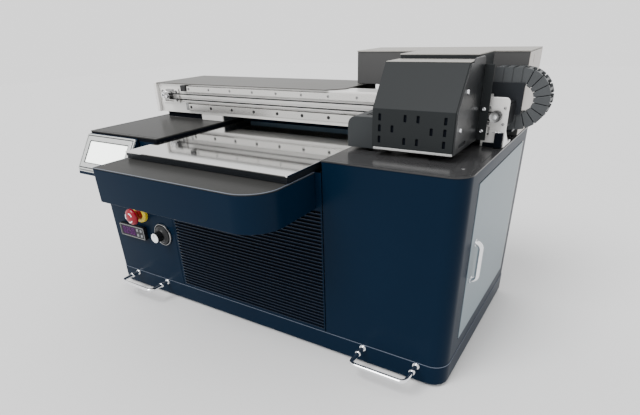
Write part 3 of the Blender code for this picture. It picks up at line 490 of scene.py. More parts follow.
def build_rear_panel():
    back = Box("rear_panel")
    slots = [slab((x, x + 0.012), back.y(-OVER), (0.100, 0.220))
             for x in [back.x0 + 0.050 + 0.022 * k for k in range(12)]]
    piece("rear_panel_sheet", combined(back.slab(), slots), NAVY, ["rear_panel"], bevel=CRISP)
    seam = slab((back.x0 - 0.004, back.x0 + 0.006), (back.y0 - 0.0030, back.y0 - CLEAR), back.z(0.001))
    piece("rear_panel_seam", seam, DARK, slot="navy powder coat")
    blades = [prism([(back.y0 - 0.0020, 0.100 + z), (back.y0 - 0.0014, 0.100 + z),
                     (back.y0 - 0.0100, 0.112 + z), (back.y0 - 0.0106, 0.112 + z)], "x", back.x0 + 0.04,
                    back.x1 - 0.04) for z in [0.010 * k for k in range(12)]]
    piece("rear_vent_blades", merged(blades), DARK)
    bolt_heads("rear_panel_screws", "y", back.y1,
               [(x, z) for x in (back.x0 + 0.012, back.middle().x, back.x1 - 0.012)
                for z in back.z(0.014)], 0.0030, 0.0012)


def bolt_heads(name, axis, face, places, radius, height, body="cabinet", slot="ground steel", paint=None):
    """Button-head screws with a hexagon socket, standing on a face. A negative height looks the other way."""
    heads = []
    for a, b in places:
        profile = [(0.0, face), (radius, face), (radius, face + height * 0.35),
                   (radius * 0.8, face + height * 0.85), (radius * 0.5, face + height),
                   (radius * 0.48, face + height * 0.35), (0.0, face + height * 0.35)]
        heads.append(turned(profile, axis, a, b, 24))
    return piece(name, merged(heads), paint or SCREW, body=body, slot=slot)


def build_bottles():
    """The ink service parts that show when the door is open."""
    right = Box("right_column")
    door = Box("service_door")
    floor_z = right.z0 + 0.004
    front = door.y0 + 0.030
    shelf = slab(right.x(0.004, 0.012), right.y(0.030, 0.010), (0.150, 0.152))
    piece("service_shelf", shelf, GREY, bevel=FINE)
    bottles = []
    caps = []
    for k in range(5):
        y = front + 0.052 * k
        x = right.x1 - 0.055
        body = [(0.0, floor_z + 0.110), (0.021, floor_z + 0.110), (0.022, floor_z + 0.113),
                (0.022, floor_z + 0.190), (0.018, floor_z + 0.200), (0.009, floor_z + 0.204),
                (0.009, floor_z + 0.208), (0.0, floor_z + 0.208)]
        bottles.append(turned(body, "z", x, y, 32))
        caps.append(turned([(0.0, floor_z + 0.208), (0.0115, floor_z + 0.208), (0.0115, floor_z + 0.224),
                            (0.0, floor_z + 0.225)], "z", x, y, 24))
    piece("ink_bottles", merged(bottles), BOTTLE)
    piece("ink_bottle_caps", merged(caps), BLACK)


LOUVRES = 34
LOUVRE_PITCH = 0.0068
LOUVRE_START = 0.0500
LOUVRE_SLOT = 0.0042


def build_louvre():
    """The front sheet with its rows of slots, each with a rolled scoop below it that opens upwards."""
    sheet = Box("louvre_panel")
    housing = Box("table_housing")
    face = sheet.y0 + SEAM_STEP
    window = slab((sheet.x0 - 0.001, housing.x1 - 0.004), sheet.y(-OVER), housing.z(0.0040, -OVER))
    x0, x1 = sheet.x0 + 0.0045, sheet.x1 - 0.0010
    rows = [LOUVRE_START + LOUVRE_PITCH * k for k in range(LOUVRES)]
    slots = [slab((x0 + 0.002, x1 - 0.002), sheet.y(-OVER), (z, z + LOUVRE_SLOT)) for z in rows]
    plate = sheet.slab(y=(face, sheet.y1))
    piece("louvre_sheet", combined(plate, [window] + slots), NAVY, ["louvre_panel"])
    scoops = [scoop(x0, x1, face, z + 0.0004) for z in rows]
    piece("louvre_scoops", merged(scoops), NAVY, angle=50)
    # Each scoop's rim carries a thin strip painted as its highlight.
    rims = [scoop_rim(x0, x1, face, z + 0.0004) for z in rows]
    piece("louvre_rim_highlights", merged(rims), LOUVRE_HIGHLIGHT, angle=50)
    # Short bright steel strips at the scoops' left ends, painted as the highlights on those rounded ends.
    glints = [scoop_rim(x0, x0 + 2 * SCOOP_END, face - 0.0001, z + 0.0005) for z in rows]
    piece("louvre_rim_end_highlights", merged(glints), SCREW, slot="navy powder coat", angle=50)
    # A dark sheet behind the slots, painted shade for the dark seen through them.
    screen = slab(sheet.x(0.001), (sheet.y1 + 0.0008, sheet.y1 + 0.0014),
                  (sheet.z0 + 0.001, housing.z0 + 0.003))
    piece("louvre_shade_screen", screen, DARK)


SCOOP_END = 0.0050
SCOOP_DEPTH = 0.0016
SCOOP_DROP = 0.0024


def scoop_stations(x0, x1):
    """Places along a scoop with how far it swells there: its two ends are rounded."""
    ends = [SCOOP_END * (1 - cos(pi / 2 * k / 5)) for k in range(6)]
    places = [x0 + d for d in ends] + [x1 - d for d in reversed(ends)]
    swells = []
    for x in places:
        share = min(min(x - x0, x1 - x) / SCOOP_END, 1.0)
        swells.append(max((1 - (1 - share) ** 2) ** 0.5, 0.05))
    return list(zip(places, swells))


def strip(sections):
    """Joins closed sections of equal count into one solid."""
    bm = bmesh.new()
    rings = [[bm.verts.new(point) for point in section] for section in sections]
    count = len(rings[0])
    for one, two in zip(rings, rings[1:]):
        for k in range(count):
            bm.faces.new((one[k], one[(k + 1) % count], two[(k + 1) % count], two[k]))
    bm.faces.new(rings[0])
    bm.faces.new(reversed(rings[-1]))
    return bm


def scoop(x0, x1, face, top):
    """One pressed scoop: it swells out of the sheet from its lower edge to its rim."""
    sections = []
    for x, swell in scoop_stations(x0, x1):
        depth, drop = SCOOP_DEPTH * swell, SCOOP_DROP * swell
        outer = [(x, face - depth * sin(pi / 2 * k / 4), top - drop * cos(pi / 2 * k / 4))
                 for k in range(5)]
        inner = [(x, face - max(depth - 0.0005, 0.0) * sin(pi / 2 * k / 4) + 0.0002,
                  top - drop * 0.7 * cos(pi / 2 * k / 4)) for k in range(4, -1, -1)]
        sections.append(outer + inner)
    return strip(sections)


def scoop_rim(x0, x1, face, top):
    """A thin strip along the scoop's rim, painted light as the highlight that the rim catches."""
    sections = []
    for x, swell in scoop_stations(x0, x1):
        y = face - SCOOP_DEPTH * swell
        sections.append([(x, y - 0.00005, top - 0.0001), (x, y - 0.00005, top + 0.0002),
                         (x, y + 0.0004, top + 0.0002), (x, y + 0.0004, top - 0.0001)])
    return strip(sections)


def build_door():
    door = Box("service_door")
    panel = door.slab()
    piece("door_panel", panel, PALE, ["service_door"], body="service_door", bevel=SOFT, segments=3)
    pull = Box("door_pull")
    radius = (pull.y1 - pull.y0) / 2
    y = pull.middle().y
    route = smooth_path([(pull.x0, y, pull.z0 + radius), (pull.x1 - radius, y, pull.z0 + radius),
                         (pull.x1 - radius, y, pull.z1 - radius), (pull.x0, y, pull.z1 - radius)], 0.009)
    bar = tube(route, radius * 0.72, radius * 0.95, up=(0.0, 1.0, 0.0))
    piece("door_pull_bar", bar, CHROME, ["door_pull"], body="service_door")
    washers = [turned([(0.0, pull.x0 - 0.0002), (0.0062, pull.x0 - 0.0002), (0.0062, pull.x0 + 0.0012),
                       (0.0, pull.x0 + 0.0014)], "x", y, z, 32) for z in pull.z(radius)]
    piece("door_pull_washers", merged(washers), CHROME, body="service_door")


def build_handles():
    for side in ("left", "right"):
        grip = Box(f"handle_{side}")
        radius = (grip.z1 - grip.z0) / 2
        z = grip.middle().z
        legs = grip.x(radius)
        out = grip.y0 + radius
        route = smooth_path([(legs[0], grip.y1, z), (legs[0], out, z), (legs[1], out, z),
                             (legs[1], grip.y1, z)], 0.010)
        piece(f"lifting_handle_{side}", tube(route, radius, radius), CHROME, [f"handle_{side}"])
        collars = []
        for x in legs:
            y = grip.y1 - 0.020
            collars.append(turned([(radius, y), (0.0052, y), (0.0056, y + 0.0010), (0.0056, y + 0.0036),
                                   (0.0048, y + 0.0046), (radius, y + 0.0046)], "y", x, z, 32))
            collars.append(turned([(0.0, grip.y1 + 0.0002), (0.0066, grip.y1 + 0.0002),
                                   (0.0062, grip.y1 - 0.0016), (0.0, grip.y1 - 0.0016)], "y", x, z, 32))
        piece(f"handle_collars_{side}", merged(collars), CHROME)


def build_housing():
    shell = Box("table_housing")

    def outline(inset):
        return rounded(shell.x(inset), shell.y(inset, 0), (max(SHARP_RADIUS - inset, 0.001),
                                                           HOUSING_RADIUS - inset, 0.0, 0.0), 20)

    piece("housing_shell", prism(outline(0.0), "z", shell.z0, shell.z1 - PLATE), NAVY, ["table_housing"],
          bevel=ROUND, segments=3)
    lid = prism(outline(0.0), "z", shell.z1 - PLATE + 0.0001, shell.z1)
    # The housing's lid takes the duller top copy, painted shade on the left tops.
    piece("housing_top", lid, DECK, bevel=0.0009, segments=3)
    # A thin ring round the housing's top edge, painted light as the highlight along that edge.
    line = combined(prism(outline(0.0002), "z", shell.z1 - 0.0006, shell.z1 + 0.0002),
                    [prism(outline(0.0013), "z", shell.z0, shell.z1 + OVER)])
    piece("housing_edge_highlight", line, EDGE_HIGHLIGHT)


# ---------------------------------------------------------------- controls


def build_stop_button():
    collar = Box("estop_collar")
    at = collar.middle()
    radius = (collar.x1 - collar.x0) / 2
    front, back = collar.y0, collar.y1
    profile = [(0.0105, back), (radius, back), (radius, front + 0.0022), (radius - 0.0016, front),
               (0.0120, front), (0.0105, front + 0.0012)]
    piece("stop_collar", turned(profile, "y", at.x, at.z, 64), YELLOW, ["estop_collar"])
    head = Box("estop_head")
    radius = (head.x1 - head.x0) / 2
    dome = [(0.0, head.y0)] + [(radius * sin(radians(t)), head.y0 + 0.0085 * (1 - cos(radians(t))))
                               for t in range(10, 91, 10)]
    skirt = [(radius, head.y0 + 0.0105), (radius - 0.0016, head.y0 + 0.0128), (0.0098, head.y0 + 0.0132),
             (0.0095, head.y1), (0.0, head.y1)]
    piece("stop_mushroom", turned(dome + skirt, "y", at.x, at.z, 64), RED, ["estop_head"],
          body="stop_button")
    marks = []
    for turn in (20, 140, 260):
        outer = arc((at.x, at.z), radius * 0.62, turn, turn + 62, 6)
        inner = arc((at.x, at.z), radius * 0.50, turn + 62, turn, 6)
        marks.append(prism(outer + inner, "y", head.y0 + 0.0006, head.y0 + 0.0022))
    piece("stop_turn_marks", merged(marks), CAP, body="stop_button")


def build_selector():
    ring = Box("selector_ring")
    at = ring.middle()
    outer = (ring.x1 - ring.x0) / 2
    profile = [(outer, ring.y1), (outer, ring.y0 + 0.0020), (outer - 0.0007, ring.y0 + 0.0008),
               (outer - 0.0017, ring.y0 + 0.0006), (outer - 0.0026, ring.y0 + 0.0020),
               (outer - 0.0028, ring.y1)]
    piece("selector_bezel", turned(profile, "y", at.x, at.z, 72), SCREW, ["selector_ring"])
    knob = Box("selector_knob")
    base = (knob.x1 - knob.x0) / 2 + 0.0014
    profile = [(0.0, knob.y1), (base, knob.y1), (base, knob.y0 + 0.0205), (0.0135, knob.y0 + 0.0180),
               (0.0118, knob.y0 + 0.0160)]
    teeth = 24
    grip = fluted(at.x, at.z, 0.0112, 0.0006, teeth, knob.y0 + 0.0012, knob.y0 + 0.0165)
    cup = turned(profile + [(0.0, knob.y0 + 0.0160)], "y", at.x, at.z, 72)
    piece("selector_grip", merged([cup, grip]), BLACK, ["selector_knob"], body="selector", bevel=CRISP)
    cap = [(0.0, knob.y0), (0.0090, knob.y0), (0.0100, knob.y0 + 0.0005), (0.0104, knob.y0 + 0.0016),
           (0.0, knob.y0 + 0.0016)]
    piece("selector_cap", turned(cap, "y", at.x, at.z, 48), CAP, body="selector")
    mark = slab((at.x - 0.0007, at.x + 0.0007), (knob.y0 - 0.0003, knob.y0 + 0.0004),
                (at.z + 0.0025, at.z + 0.0085))
    piece("selector_mark", mark, BLACK, body="selector")


def fluted(a, b, radius, depth, teeth, low, high):
    """A grip along Y whose side has shallow flutes."""
    count = teeth * 6
    outline = []
    for k in range(count):
        t = 2 * pi * k / count
        r = radius - depth * (0.5 + 0.5 * cos(teeth * t))
        outline.append((a + r * cos(t), b + r * sin(t)))
    return prism(outline, "y", low, high)


SEGMENTS = {"0": "abcdef", "2": "abged", "5": "afgcd"}


def digit_bars(text, x, z, width, height, y):
    """Seven-segment digits as raised bars."""
    t = width * 0.16
    half = height / 2
    shapes = []
    for k, mark in enumerate(text):
        a = x + k * width * 1.55
        spans = {
            "a": ((a + t, a + width - t), (z + height - t, z + height)),
            "g": ((a + t, a + width - t), (z + half - t / 2, z + half + t / 2)),
            "d": ((a + t, a + width - t), (z, z + t)),
            "b": ((a + width - t, a + width), (z + half + t / 3, z + height - t / 2)),
            "c": ((a + width - t, a + width), (z + t / 2, z + half - t / 3)),
            "f": ((a, a + t), (z + half + t / 3, z + height - t / 2)),
            "e": ((a, a + t), (z + t / 2, z + half - t / 3)),
        }
        shapes += [slab(spans[s][0], (y, y + 0.0005), spans[s][1]) for s in SEGMENTS[mark]]
    return merged(shapes)


def build_controller():
    case = Box("temperature_controller")
    outline = rounded(case.x(), case.z(), (0.003,) * 4, 6)
    window = slab((case.x0 + 0.007, case.x0 + 0.054), (case.y0 - 0.005, case.y0 + 0.0010), case.z(0.005))
    keys = [Box(f"key_{k}") for k in range(1, 5)]
    pockets = [slab(k.x(-CLEAR), (case.y0 - 0.005, k.y1 + 0.0016), k.z(-CLEAR)) for k in keys]
    body = combined(prism(outline, "y", case.y0, case.y1), [window] + pockets)
    piece("controller_case", body, BLACK, ["temperature_controller"], bevel=0.0007, segments=3)
    rim = combined(prism(rounded(case.x(0.0015), case.z(0.0015), (0.002,) * 4, 4), "y", case.y0 - 0.0003,
                         case.y0 + 0.0003), [slab(case.x(0.0025), (case.y0 - OVER, case.y0 + OVER),
                                                  case.z(0.0025))])
    piece("controller_rim", rim, SCREW)
    glass = slab((case.x0 + 0.0072, case.x0 + 0.0538), (case.y0 + 0.0004, case.y0 + 0.0010),
                 case.z(0.0052))
    piece("controller_window", glass, PURPLE)
    height = (case.z1 - case.z0) - 0.0150
    digits = digit_bars("0250", case.x0 + 0.0120, case.z0 + 0.0075, 0.0062, height, case.y0 + 0.0001)
    piece("controller_digits", digits, DIGIT)
    for number, key in enumerate(keys, 1):
        cap = key.slab()
        piece(f"key_cap_{number}", cap, KEY, [f"key_{number}"], body=f"key_{number}", bevel=0.0009,
              segments=3)


def build_console():
    case = Box("console_housing")
    left = Box("left_column")
    top = Vector((left.y0 - 0.004, 0.3570))
    foot = Vector((left.y0 - 0.0485, 0.2930))
    down = (foot - top).normalized()
    out = Vector((down.y, -down.x))
    slope = (foot - top).length

    def face(points):
        return [tuple(top + down * u + out * v) for u, v in points]

    shell = [(left.y0 - CLEAR, 0.3585), (left.y0 - CLEAR, 0.3000), (left.y0 - 0.0420, 0.2830),
             (left.y0 - 0.0505, 0.2835)]
    shell += face([(slope + 0.0005, -0.0002), (0.0, 0.0)])
    piece("console_shell", prism(shell, "x", case.x0, case.x1), NAVY, ["console_housing"],
          slot="navy plastic", bevel=0.0016, segments=3)

    def frame_ring(inset, width, low, high):
        wide = prism(face([(inset, low), (slope - inset, low), (slope - inset, high), (inset, high)]),
                     "x", case.x0 + inset, case.x1 - inset)
        edge = inset + width
        hole = prism(face([(edge, low - OVER), (slope - edge, low - OVER), (slope - edge, high + OVER),
                           (edge, high + OVER)]), "x", case.x0 + edge, case.x1 - edge)
        return combined(wide, [hole])

    piece("console_outer_frame", frame_ring(0.0008, 0.0030, -0.0010, 0.0030), SILVER, bevel=SOFT)
    piece("console_shadow_gap", frame_ring(0.0036, 0.0024, -0.0010, 0.0030), SHADE)
    piece("console_bezel", frame_ring(0.0056, 0.0090, -0.0010, 0.0036), SILVER, bevel=EDGE, segments=3)
    piece("console_screen_edge", frame_ring(0.0138, 0.0024, -0.0010, 0.0028), SHADE)
    screen = prism(face([(0.0158, -0.0004), (slope - 0.0158, -0.0004), (slope - 0.0158, 0.0016),
                         (0.0158, 0.0016)]), "x", case.x0 + 0.0158, case.x1 - 0.0158)
    piece("console_display", screen, SCREEN, ["touch_screen"], bevel=HAIR)
    lip = prism(face([(slope - 0.0004, 0.0), (slope + 0.0030, -0.0010), (slope + 0.0030, -0.0040),
                      (slope - 0.0004, -0.0040)]), "x", case.x0 + 0.001, case.x1 - 0.001)
    piece("console_lip", lip, SILVER, bevel=FINE)


# ---------------------------------------------------------------- table


def build_table():
    plate = Box("table_plate")
    outline = rounded(plate.x(), plate.y(), (0.002,) * 4, 6)
    skin = 0.0026
    piece("table_surface", prism(outline, "z", plate.z1 - skin, plate.z1), TABLE, ["table_plate"],
          body="table", bevel=SOFT, segments=3)
    inset = 0.0012
    core = rounded(plate.x(inset), plate.y(inset))
    piece("table_core", prism(core, "z", plate.z0, plate.z1 - skin), ANODISED, body="table",
          slot="black aluminium", bevel=CRISP)
    dress("table_sled", ANODISED)
    for node in ("table_block_left", "table_block_right", "leadscrew", "table_rail_left",
                 "table_rail_right", "door_hinge_pin"):
        dress(node, STEEL)
    dress("inner_frame", GREY)
    dress("leadscrew_motor", BLACK)


def dress(node, paint):
    """Gives a CAD node that stays in view its finish and softly broken edges."""
    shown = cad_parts[node]
    shown.data.materials.clear()
    shown.data.materials.append(paint)
    weld = shown.modifiers.new("weld", "WELD")
    weld.merge_threshold = 0.00001
    edges = shown.modifiers.new("edges", "BEVEL")
    edges.width = 0.0003
    edges.segments = 2
    edges.limit_method = "ANGLE"
    edges.angle_limit = radians(35)
    edges.harden_normals = True


# ---------------------------------------------------------------- gantry

RAIL_PITCH = 0.060


def build_beam():
    beam = Box("beam")
    belt = Box("x_belt")
    lower = Box("rail_lower")
    upper = Box("rail_upper")
    y0, y1, z0, z1 = beam.y0, beam.y1, beam.z0, beam.z1
    mid = belt.middle().z
    groove = 0.0016
    outline = [(y0, z0), (y1, z0), (y1, z1), (y0, z1), (y0, upper.z0 - 0.0022),
               (y0 + groove, upper.z0 - 0.0030), (y0 + groove, mid + 0.0078),
               (y0 + 0.0006, mid + 0.0070), (y0 + 0.0006, mid - 0.0070), (y0 + groove, mid - 0.0078),
               (y0 + groove, lower.z1 + 0.0022), (y0, lower.z1 + 0.0014)]
    piece("beam_profile", prism(outline, "x", beam.x0, beam.x1), WHITE, ["beam"], bevel=FINE)
    for name, rail, paint in (("upper", upper, SCREW), ("lower", lower, DARKSCREW)):
        screws = []
        half = (rail.z1 - rail.z0) / 2
        z = rail.middle().z
        waist = half * 0.80
        section = [(rail.y1, z - half), (rail.y1, z + half), (rail.y0 + 0.0048, z + half),
                   (rail.y0 + 0.0034, z + waist), (rail.y0 + 0.0018, z + waist),
                   (rail.y0 + 0.0008, z + half), (rail.y0, z + half * 0.90), (rail.y0, z - half * 0.90),
                   (rail.y0 + 0.0008, z - half), (rail.y0 + 0.0018, z - waist),
                   (rail.y0 + 0.0034, z - waist), (rail.y0 + 0.0048, z - half)]
        places = [rail.x0 + 0.007 + RAIL_PITCH * k for k in range(11)]
        size = half * 0.46
        holes = [rod("y", x, z, size, rail.y0 - 0.002, rail.y0 + 0.0022, 20) for x in places]
        piece(f"rail_{name}_bar", combined(prism(section, "x", rail.x0, rail.x1), holes), STEEL,
              [f"rail_{name}"])
        for x in places:
            head = [(0.0, rail.y0 + 0.0024), (size * 0.86, rail.y0 + 0.0024),
                    (size * 0.86, rail.y0 + 0.0008), (size * 0.45, rail.y0 + 0.0007),
                    (size * 0.42, rail.y0 + 0.0017), (0.0, rail.y0 + 0.0017)]
            screws.append(turned(head, "y", x, z, 16))
        piece(f"rail_{name}_screws", merged(screws), paint, slot="ground steel")
    stop = slab((lower.x0 - 0.0085, lower.x0 - 0.0005), lower.y(-0.0006, 0), lower.z(0.001, -0.001))
    piece("rail_stop_lower", stop, SCREW, slot="polished aluminium", bevel=0.0012, segments=2)
    sensor = slab((upper.x0 - 0.0165, upper.x0 - 0.0010), upper.y(-0.003, 0), upper.z(0.0015, -0.0015))
    piece("home_sensor", sensor, DARKSCREW, bevel=0.0012, segments=2)


def build_belt():
    """The toothed loop round the two pulleys."""
    belt = Box("x_belt")
    outer = (belt.z1 - belt.z0) / 2
    left, right = belt.x0 + outer, belt.x1 - outer
    z = belt.middle().z
    run, turn = right - left, pi * outer
    teeth = floor((2 * run + 2 * turn) / 0.003)
    count = teeth * 2
    length = 2 * run + 2 * turn
    bm = bmesh.new()
    rings = []
    for k in range(count):
        s = length * k / count
        if s < run:
            centre, normal = (left + s, z), (0.0, 1.0)
        elif s < run + turn:
            t = pi / 2 - (s - run) / outer
            centre, normal = (right, z), (cos(t), sin(t))
        elif s < 2 * run + turn:
            centre, normal = (right - (s - run - turn), z), (0.0, -1.0)
        else:
            t = -pi / 2 - (s - 2 * run - turn) / outer
            centre, normal = (left, z), (cos(t), sin(t))
        inner = outer - (0.0014 if k % 2 else 0.0007)
        corners = ((outer, belt.y0), (outer, belt.y1), (inner, belt.y1), (inner, belt.y0))
        ring = [bm.verts.new((centre[0] + normal[0] * r, y, centre[1] + normal[1] * r))
                for r, y in corners]
        rings.append(ring)
    for i in range(count):
        one, two = rings[i], rings[(i + 1) % count]
        for k in range(4):
            bm.faces.new((one[k], one[(k + 1) % 4], two[(k + 1) % 4], two[k]))
    piece("toothed_belt", bm, RUBBER, ["x_belt"])


def toothed_pulley(node, body):
    wheel = Box(node)
    at = wheel.middle()
    flange = (wheel.x1 - wheel.x0) / 2
    front = wheel.y0
    profile = [(0.0, front - 0.0002), (0.0026, front - 0.0002), (0.0030, front + 0.0006),
               (flange * 0.80, front + 0.0006), (flange, front + 0.0001), (flange, front + 0.0009),
               (0.0046, front + 0.0014), (0.0046, front + 0.0100), (flange, front + 0.0104),
               (flange, wheel.y1 if node == "idler_pulley" else front + 0.0117),
               (0.0030, front + 0.0118), (0.0026, wheel.y1), (0.0, wheel.y1)]
    piece(f"{node}_wheel", turned(profile, "y", at.x, at.z, 48), SCREW, [node], body=body,
          slot="ground steel")
    bolt = [(0.0, front - 0.0022), (0.0034, front - 0.0022), (0.0036, front - 0.0016),
            (0.0036, front - 0.0002), (0.0, front - 0.0002)]
    piece(f"{node}_bolt", turned(bolt, "y", at.x, at.z, 6), CHROME, body=body, slot="ground steel")


def build_end_plate():
    beam = Box("beam")
    plate = Box("end_plate_left")
    z = Box("x_belt").middle().z
    shape = prism(rounded(plate.y(), plate.z(), (0.002, 0.004, 0.004, 0.002), 6), "x", plate.x0,
                  beam.x0 - CLEAR)
    piece("end_plate_sheet", shape, WHITE, ["end_plate_left"], bevel=SOFT)
    tension = slab((beam.x0 + 0.010, plate.x1), (beam.y0 - 0.0034, beam.y0 - CLEAR),
                   (z - 0.0150, z + 0.0150))
    slot = slab((beam.x0 + 0.018, plate.x1 - 0.020), (beam.y0 - 0.02, beam.y0 + 0.02),
                (z - 0.0125, z - 0.0100))
    piece("idler_bracket", combined(tension, [slot]), WHITE, bevel=EDGE)
    toothed_pulley("idler_pulley", "idler_pulley")
    bolt_heads("idler_bracket_screws", "y", beam.y0 - 0.0034,
               [(plate.x1 - 0.006, z + 0.009), (plate.x1 - 0.006, z - 0.009),
                (beam.x0 + 0.015, z + 0.009)], 0.0030, -0.0022)
    wheel = Box("idler_pulley").middle()
    knob = [(0.0, beam.y0 - 0.0110), (0.0050, beam.y0 - 0.0110), (0.0056, beam.y0 - 0.0100),
            (0.0060, beam.y0 - 0.0060), (0.0084, beam.y0 - 0.0056), (0.0088, beam.y0 - 0.0046),
            (0.0088, beam.y0 - 0.0034), (0.0, beam.y0 - 0.0034)]
    piece("idler_tension_knob", turned(knob, "y", wheel.x - 0.0185, z + 0.0008), CHROME)
    socket = [(0.0, beam.y0 - 0.0112), (0.0026, beam.y0 - 0.0112), (0.0026, beam.y0 - 0.0104),
              (0.0, beam.y0 - 0.0104)]
    piece("idler_tension_socket", turned(socket, "y", wheel.x - 0.0185, z + 0.0008, 6), DARK)
    tie = slab((beam.x0 + 0.030, beam.x0 + 0.052), (beam.y0 - 0.0085, beam.y0 - 0.0034),
               (z + 0.0095, z + 0.0140))
    piece("idler_tension_block", tie, SCREW, slot="polished aluminium", bevel=ROUND)


def build_beam_cover():
    """The folded sheet over the beam, whose right end is cut on a slant."""
    cover = Box("beam_cover")
    thick = 0.0016
    slant = 0.028
    outline = [(cover.x0, cover.y0), (cover.x1 - slant, cover.y0), (cover.x1, cover.y0 + 0.030),
               (cover.x1, cover.y1), (cover.x0, cover.y1)]
    top = prism(outline, "z", cover.z1 - thick, cover.z1)
    back = cover.slab(y=(cover.y1 - thick, cover.y1), z=(cover.z0, cover.z1 - thick + 0.0001))
    piece("cover_sheet_top", top, COVER, ["beam_cover"], bevel=SOFT)
    piece("cover_sheet_back", back, COVER, bevel=FINE)
    bolt_heads("cover_screws", "y", cover.y1, [(cover.x0 + 0.03 + 0.14 * k, cover.z0 + 0.012)
                                               for k in range(4)], 0.0028, 0.0014)


def build_pillars():
    beam = Box("beam")
    left = Box("pillar_left")
    face_y = left.y0 + 0.004
    piece("pillar_left_face", left.slab(y=(left.y0, face_y)), WHITE, ["pillar_left"], bevel=SOFT)
    piece("pillar_left_block", left.slab(y=(face_y + 0.0001, left.y1)), SHADE, slot="black aluminium",
          bevel=SOFT)
    right = Box("pillar_right")
    column = Box("right_column")
    x0 = column.x0 + 0.0016
    body = right.slab(x=(x0, x0 + 0.065), z=(right.z0, beam.z0 - CLEAR))
    piece("pillar_right_block", body, WHITE, ["pillar_right"], bevel=SOFT)
    tray_z = right.z1 - 0.0034
    tray = right.slab(y=(right.y1 - 0.0405, right.y1), z=(tray_z, right.z1))
    holes = [rod("z", right.x0 + 0.020 + 0.050 * k, right.y1 - 0.020, 0.0024, tray_z - OVER,
                 right.z1 + OVER, 16) for k in range(6)]
    piece("chain_tray", combined(tray, holes), ANODISED, bevel=CRISP)
    riser = slab((x0 + 0.001, x0 + 0.064), (right.y1 - 0.039, right.y1 - 0.0006),
                 (beam.z0 - 0.002, tray_z + 0.0002))
    piece("chain_tray_riser", riser, ANODISED)
    # A sheet under the beam, painted as the shaded gap seen there.
    skirt = slab((left.x1 + 0.0005, column.x0 + 0.0012), (right.y1 + 0.0008, right.y1 + 0.0016),
                 (0.3580, right.z0 + 0.0110))
    piece("underbeam_shade_sheet", skirt, GAP)
    # A dark strip beside the left pillar, painted shade under the beam.
    dark = slab((beam.x0 + 0.012, left.x0 - 0.002), (left.y0 + 0.008, left.y0 + 0.010), left.z(0.0002, 0))
    piece("underbeam_shade_sheet_left", dark, DARK)


def build_bracket():
    beam = Box("beam")
    bracket = Box("end_bracket_right")
    z = Box("x_belt").middle().z
    wheel = Box("motor_pulley").middle()
    front = bracket.y0
    outline = rounded(bracket.x(), bracket.z(), (0.0, 0.002, 0.007, 0.001), 10)
    cuts = [rod("y", wheel.x, z, 0.0068, front - OVER, front + 0.02),
            slab((bracket.x0 + 0.0075, bracket.x0 + 0.0110), (front - OVER, front + 0.02),
                 (z - 0.0300, z - 0.0180))]
    plate = combined(prism(outline, "y", front, front + 0.0040), cuts)
    piece("bracket_plate", plate, WHITE, ["end_bracket_right"], bevel=0.0007, segments=3)
    foot = bracket.slab(y=(front + 0.003, bracket.y1), z=(bracket.z0, bracket.z0 + 0.0040))
    piece("bracket_foot", foot, WHITE, bevel=SOFT)
    rib = prism([(front + 0.0035, bracket.z0 + 0.0038), (front + 0.0300, bracket.z0 + 0.0038),
                 (front + 0.0035, bracket.z0 + 0.0260)], "x", bracket.x1 - 0.0026, bracket.x1)
    piece("bracket_rib", rib, WHITE, bevel=FINE)
    bolt_heads("bracket_screws", "y", front, [(wheel.x + dx, z + dz) for dx in (-0.011, 0.011)
                                              for dz in (-0.012, 0.012)], 0.0022, -0.0016)
    switch = slab((bracket.x1 - 0.0140, bracket.x1 - 0.0020), (front - 0.0085, front - CLEAR),
                  (bracket.z0 + 0.0004, bracket.z0 + 0.0230))
    ledge = slab(bracket.x(0.0040, 0.0142), (front - 0.0040, front - CLEAR),
                 (bracket.z0 + 0.0004, bracket.z0 + 0.0070))
    lever = slab((bracket.x1 - 0.0190, bracket.x1 - 0.0050), (front - 0.0062, front - 0.0036),
                 (bracket.z0 + 0.0234, bracket.z0 + 0.0242))
    piece("limit_switch", merged([switch, ledge]), DARK, bevel=ROUND, segments=2)
    piece("limit_switch_lever", lever, CHROME, slot="ground steel", bevel=0.0002)
    toothed_pulley("motor_pulley", "motor_pulley")
    motor = Box("x_motor")
    case = prism(rounded(motor.x(), motor.z(), (0.003,) * 4, 5), "y", motor.y0, motor.y1)
    grooves = [slab(motor.x(-OVER), (y, y + 0.001), (motor.z1 - 0.0012, motor.z1 + OVER))
               for y in [motor.y0 + 0.010 + 0.008 * k for k in range(4)]]
    piece("belt_motor_case", combined(case, grooves), BLACK, ["x_motor"], slot="black motor", bevel=0.0007)
    loop = Box("chain_bend")
    # A dark sheet behind the chain loop, painted shade for the box face lying in shadow there.
    apron = slab(bracket.x(-0.006, -0.008), (beam.y1 + 0.0006, beam.y1 + 0.0024),
                 (loop.middle().z - 0.0225, loop.middle().z + 0.0255))
    piece("cable_apron_shade", apron, SHADE, bevel=SOFT)


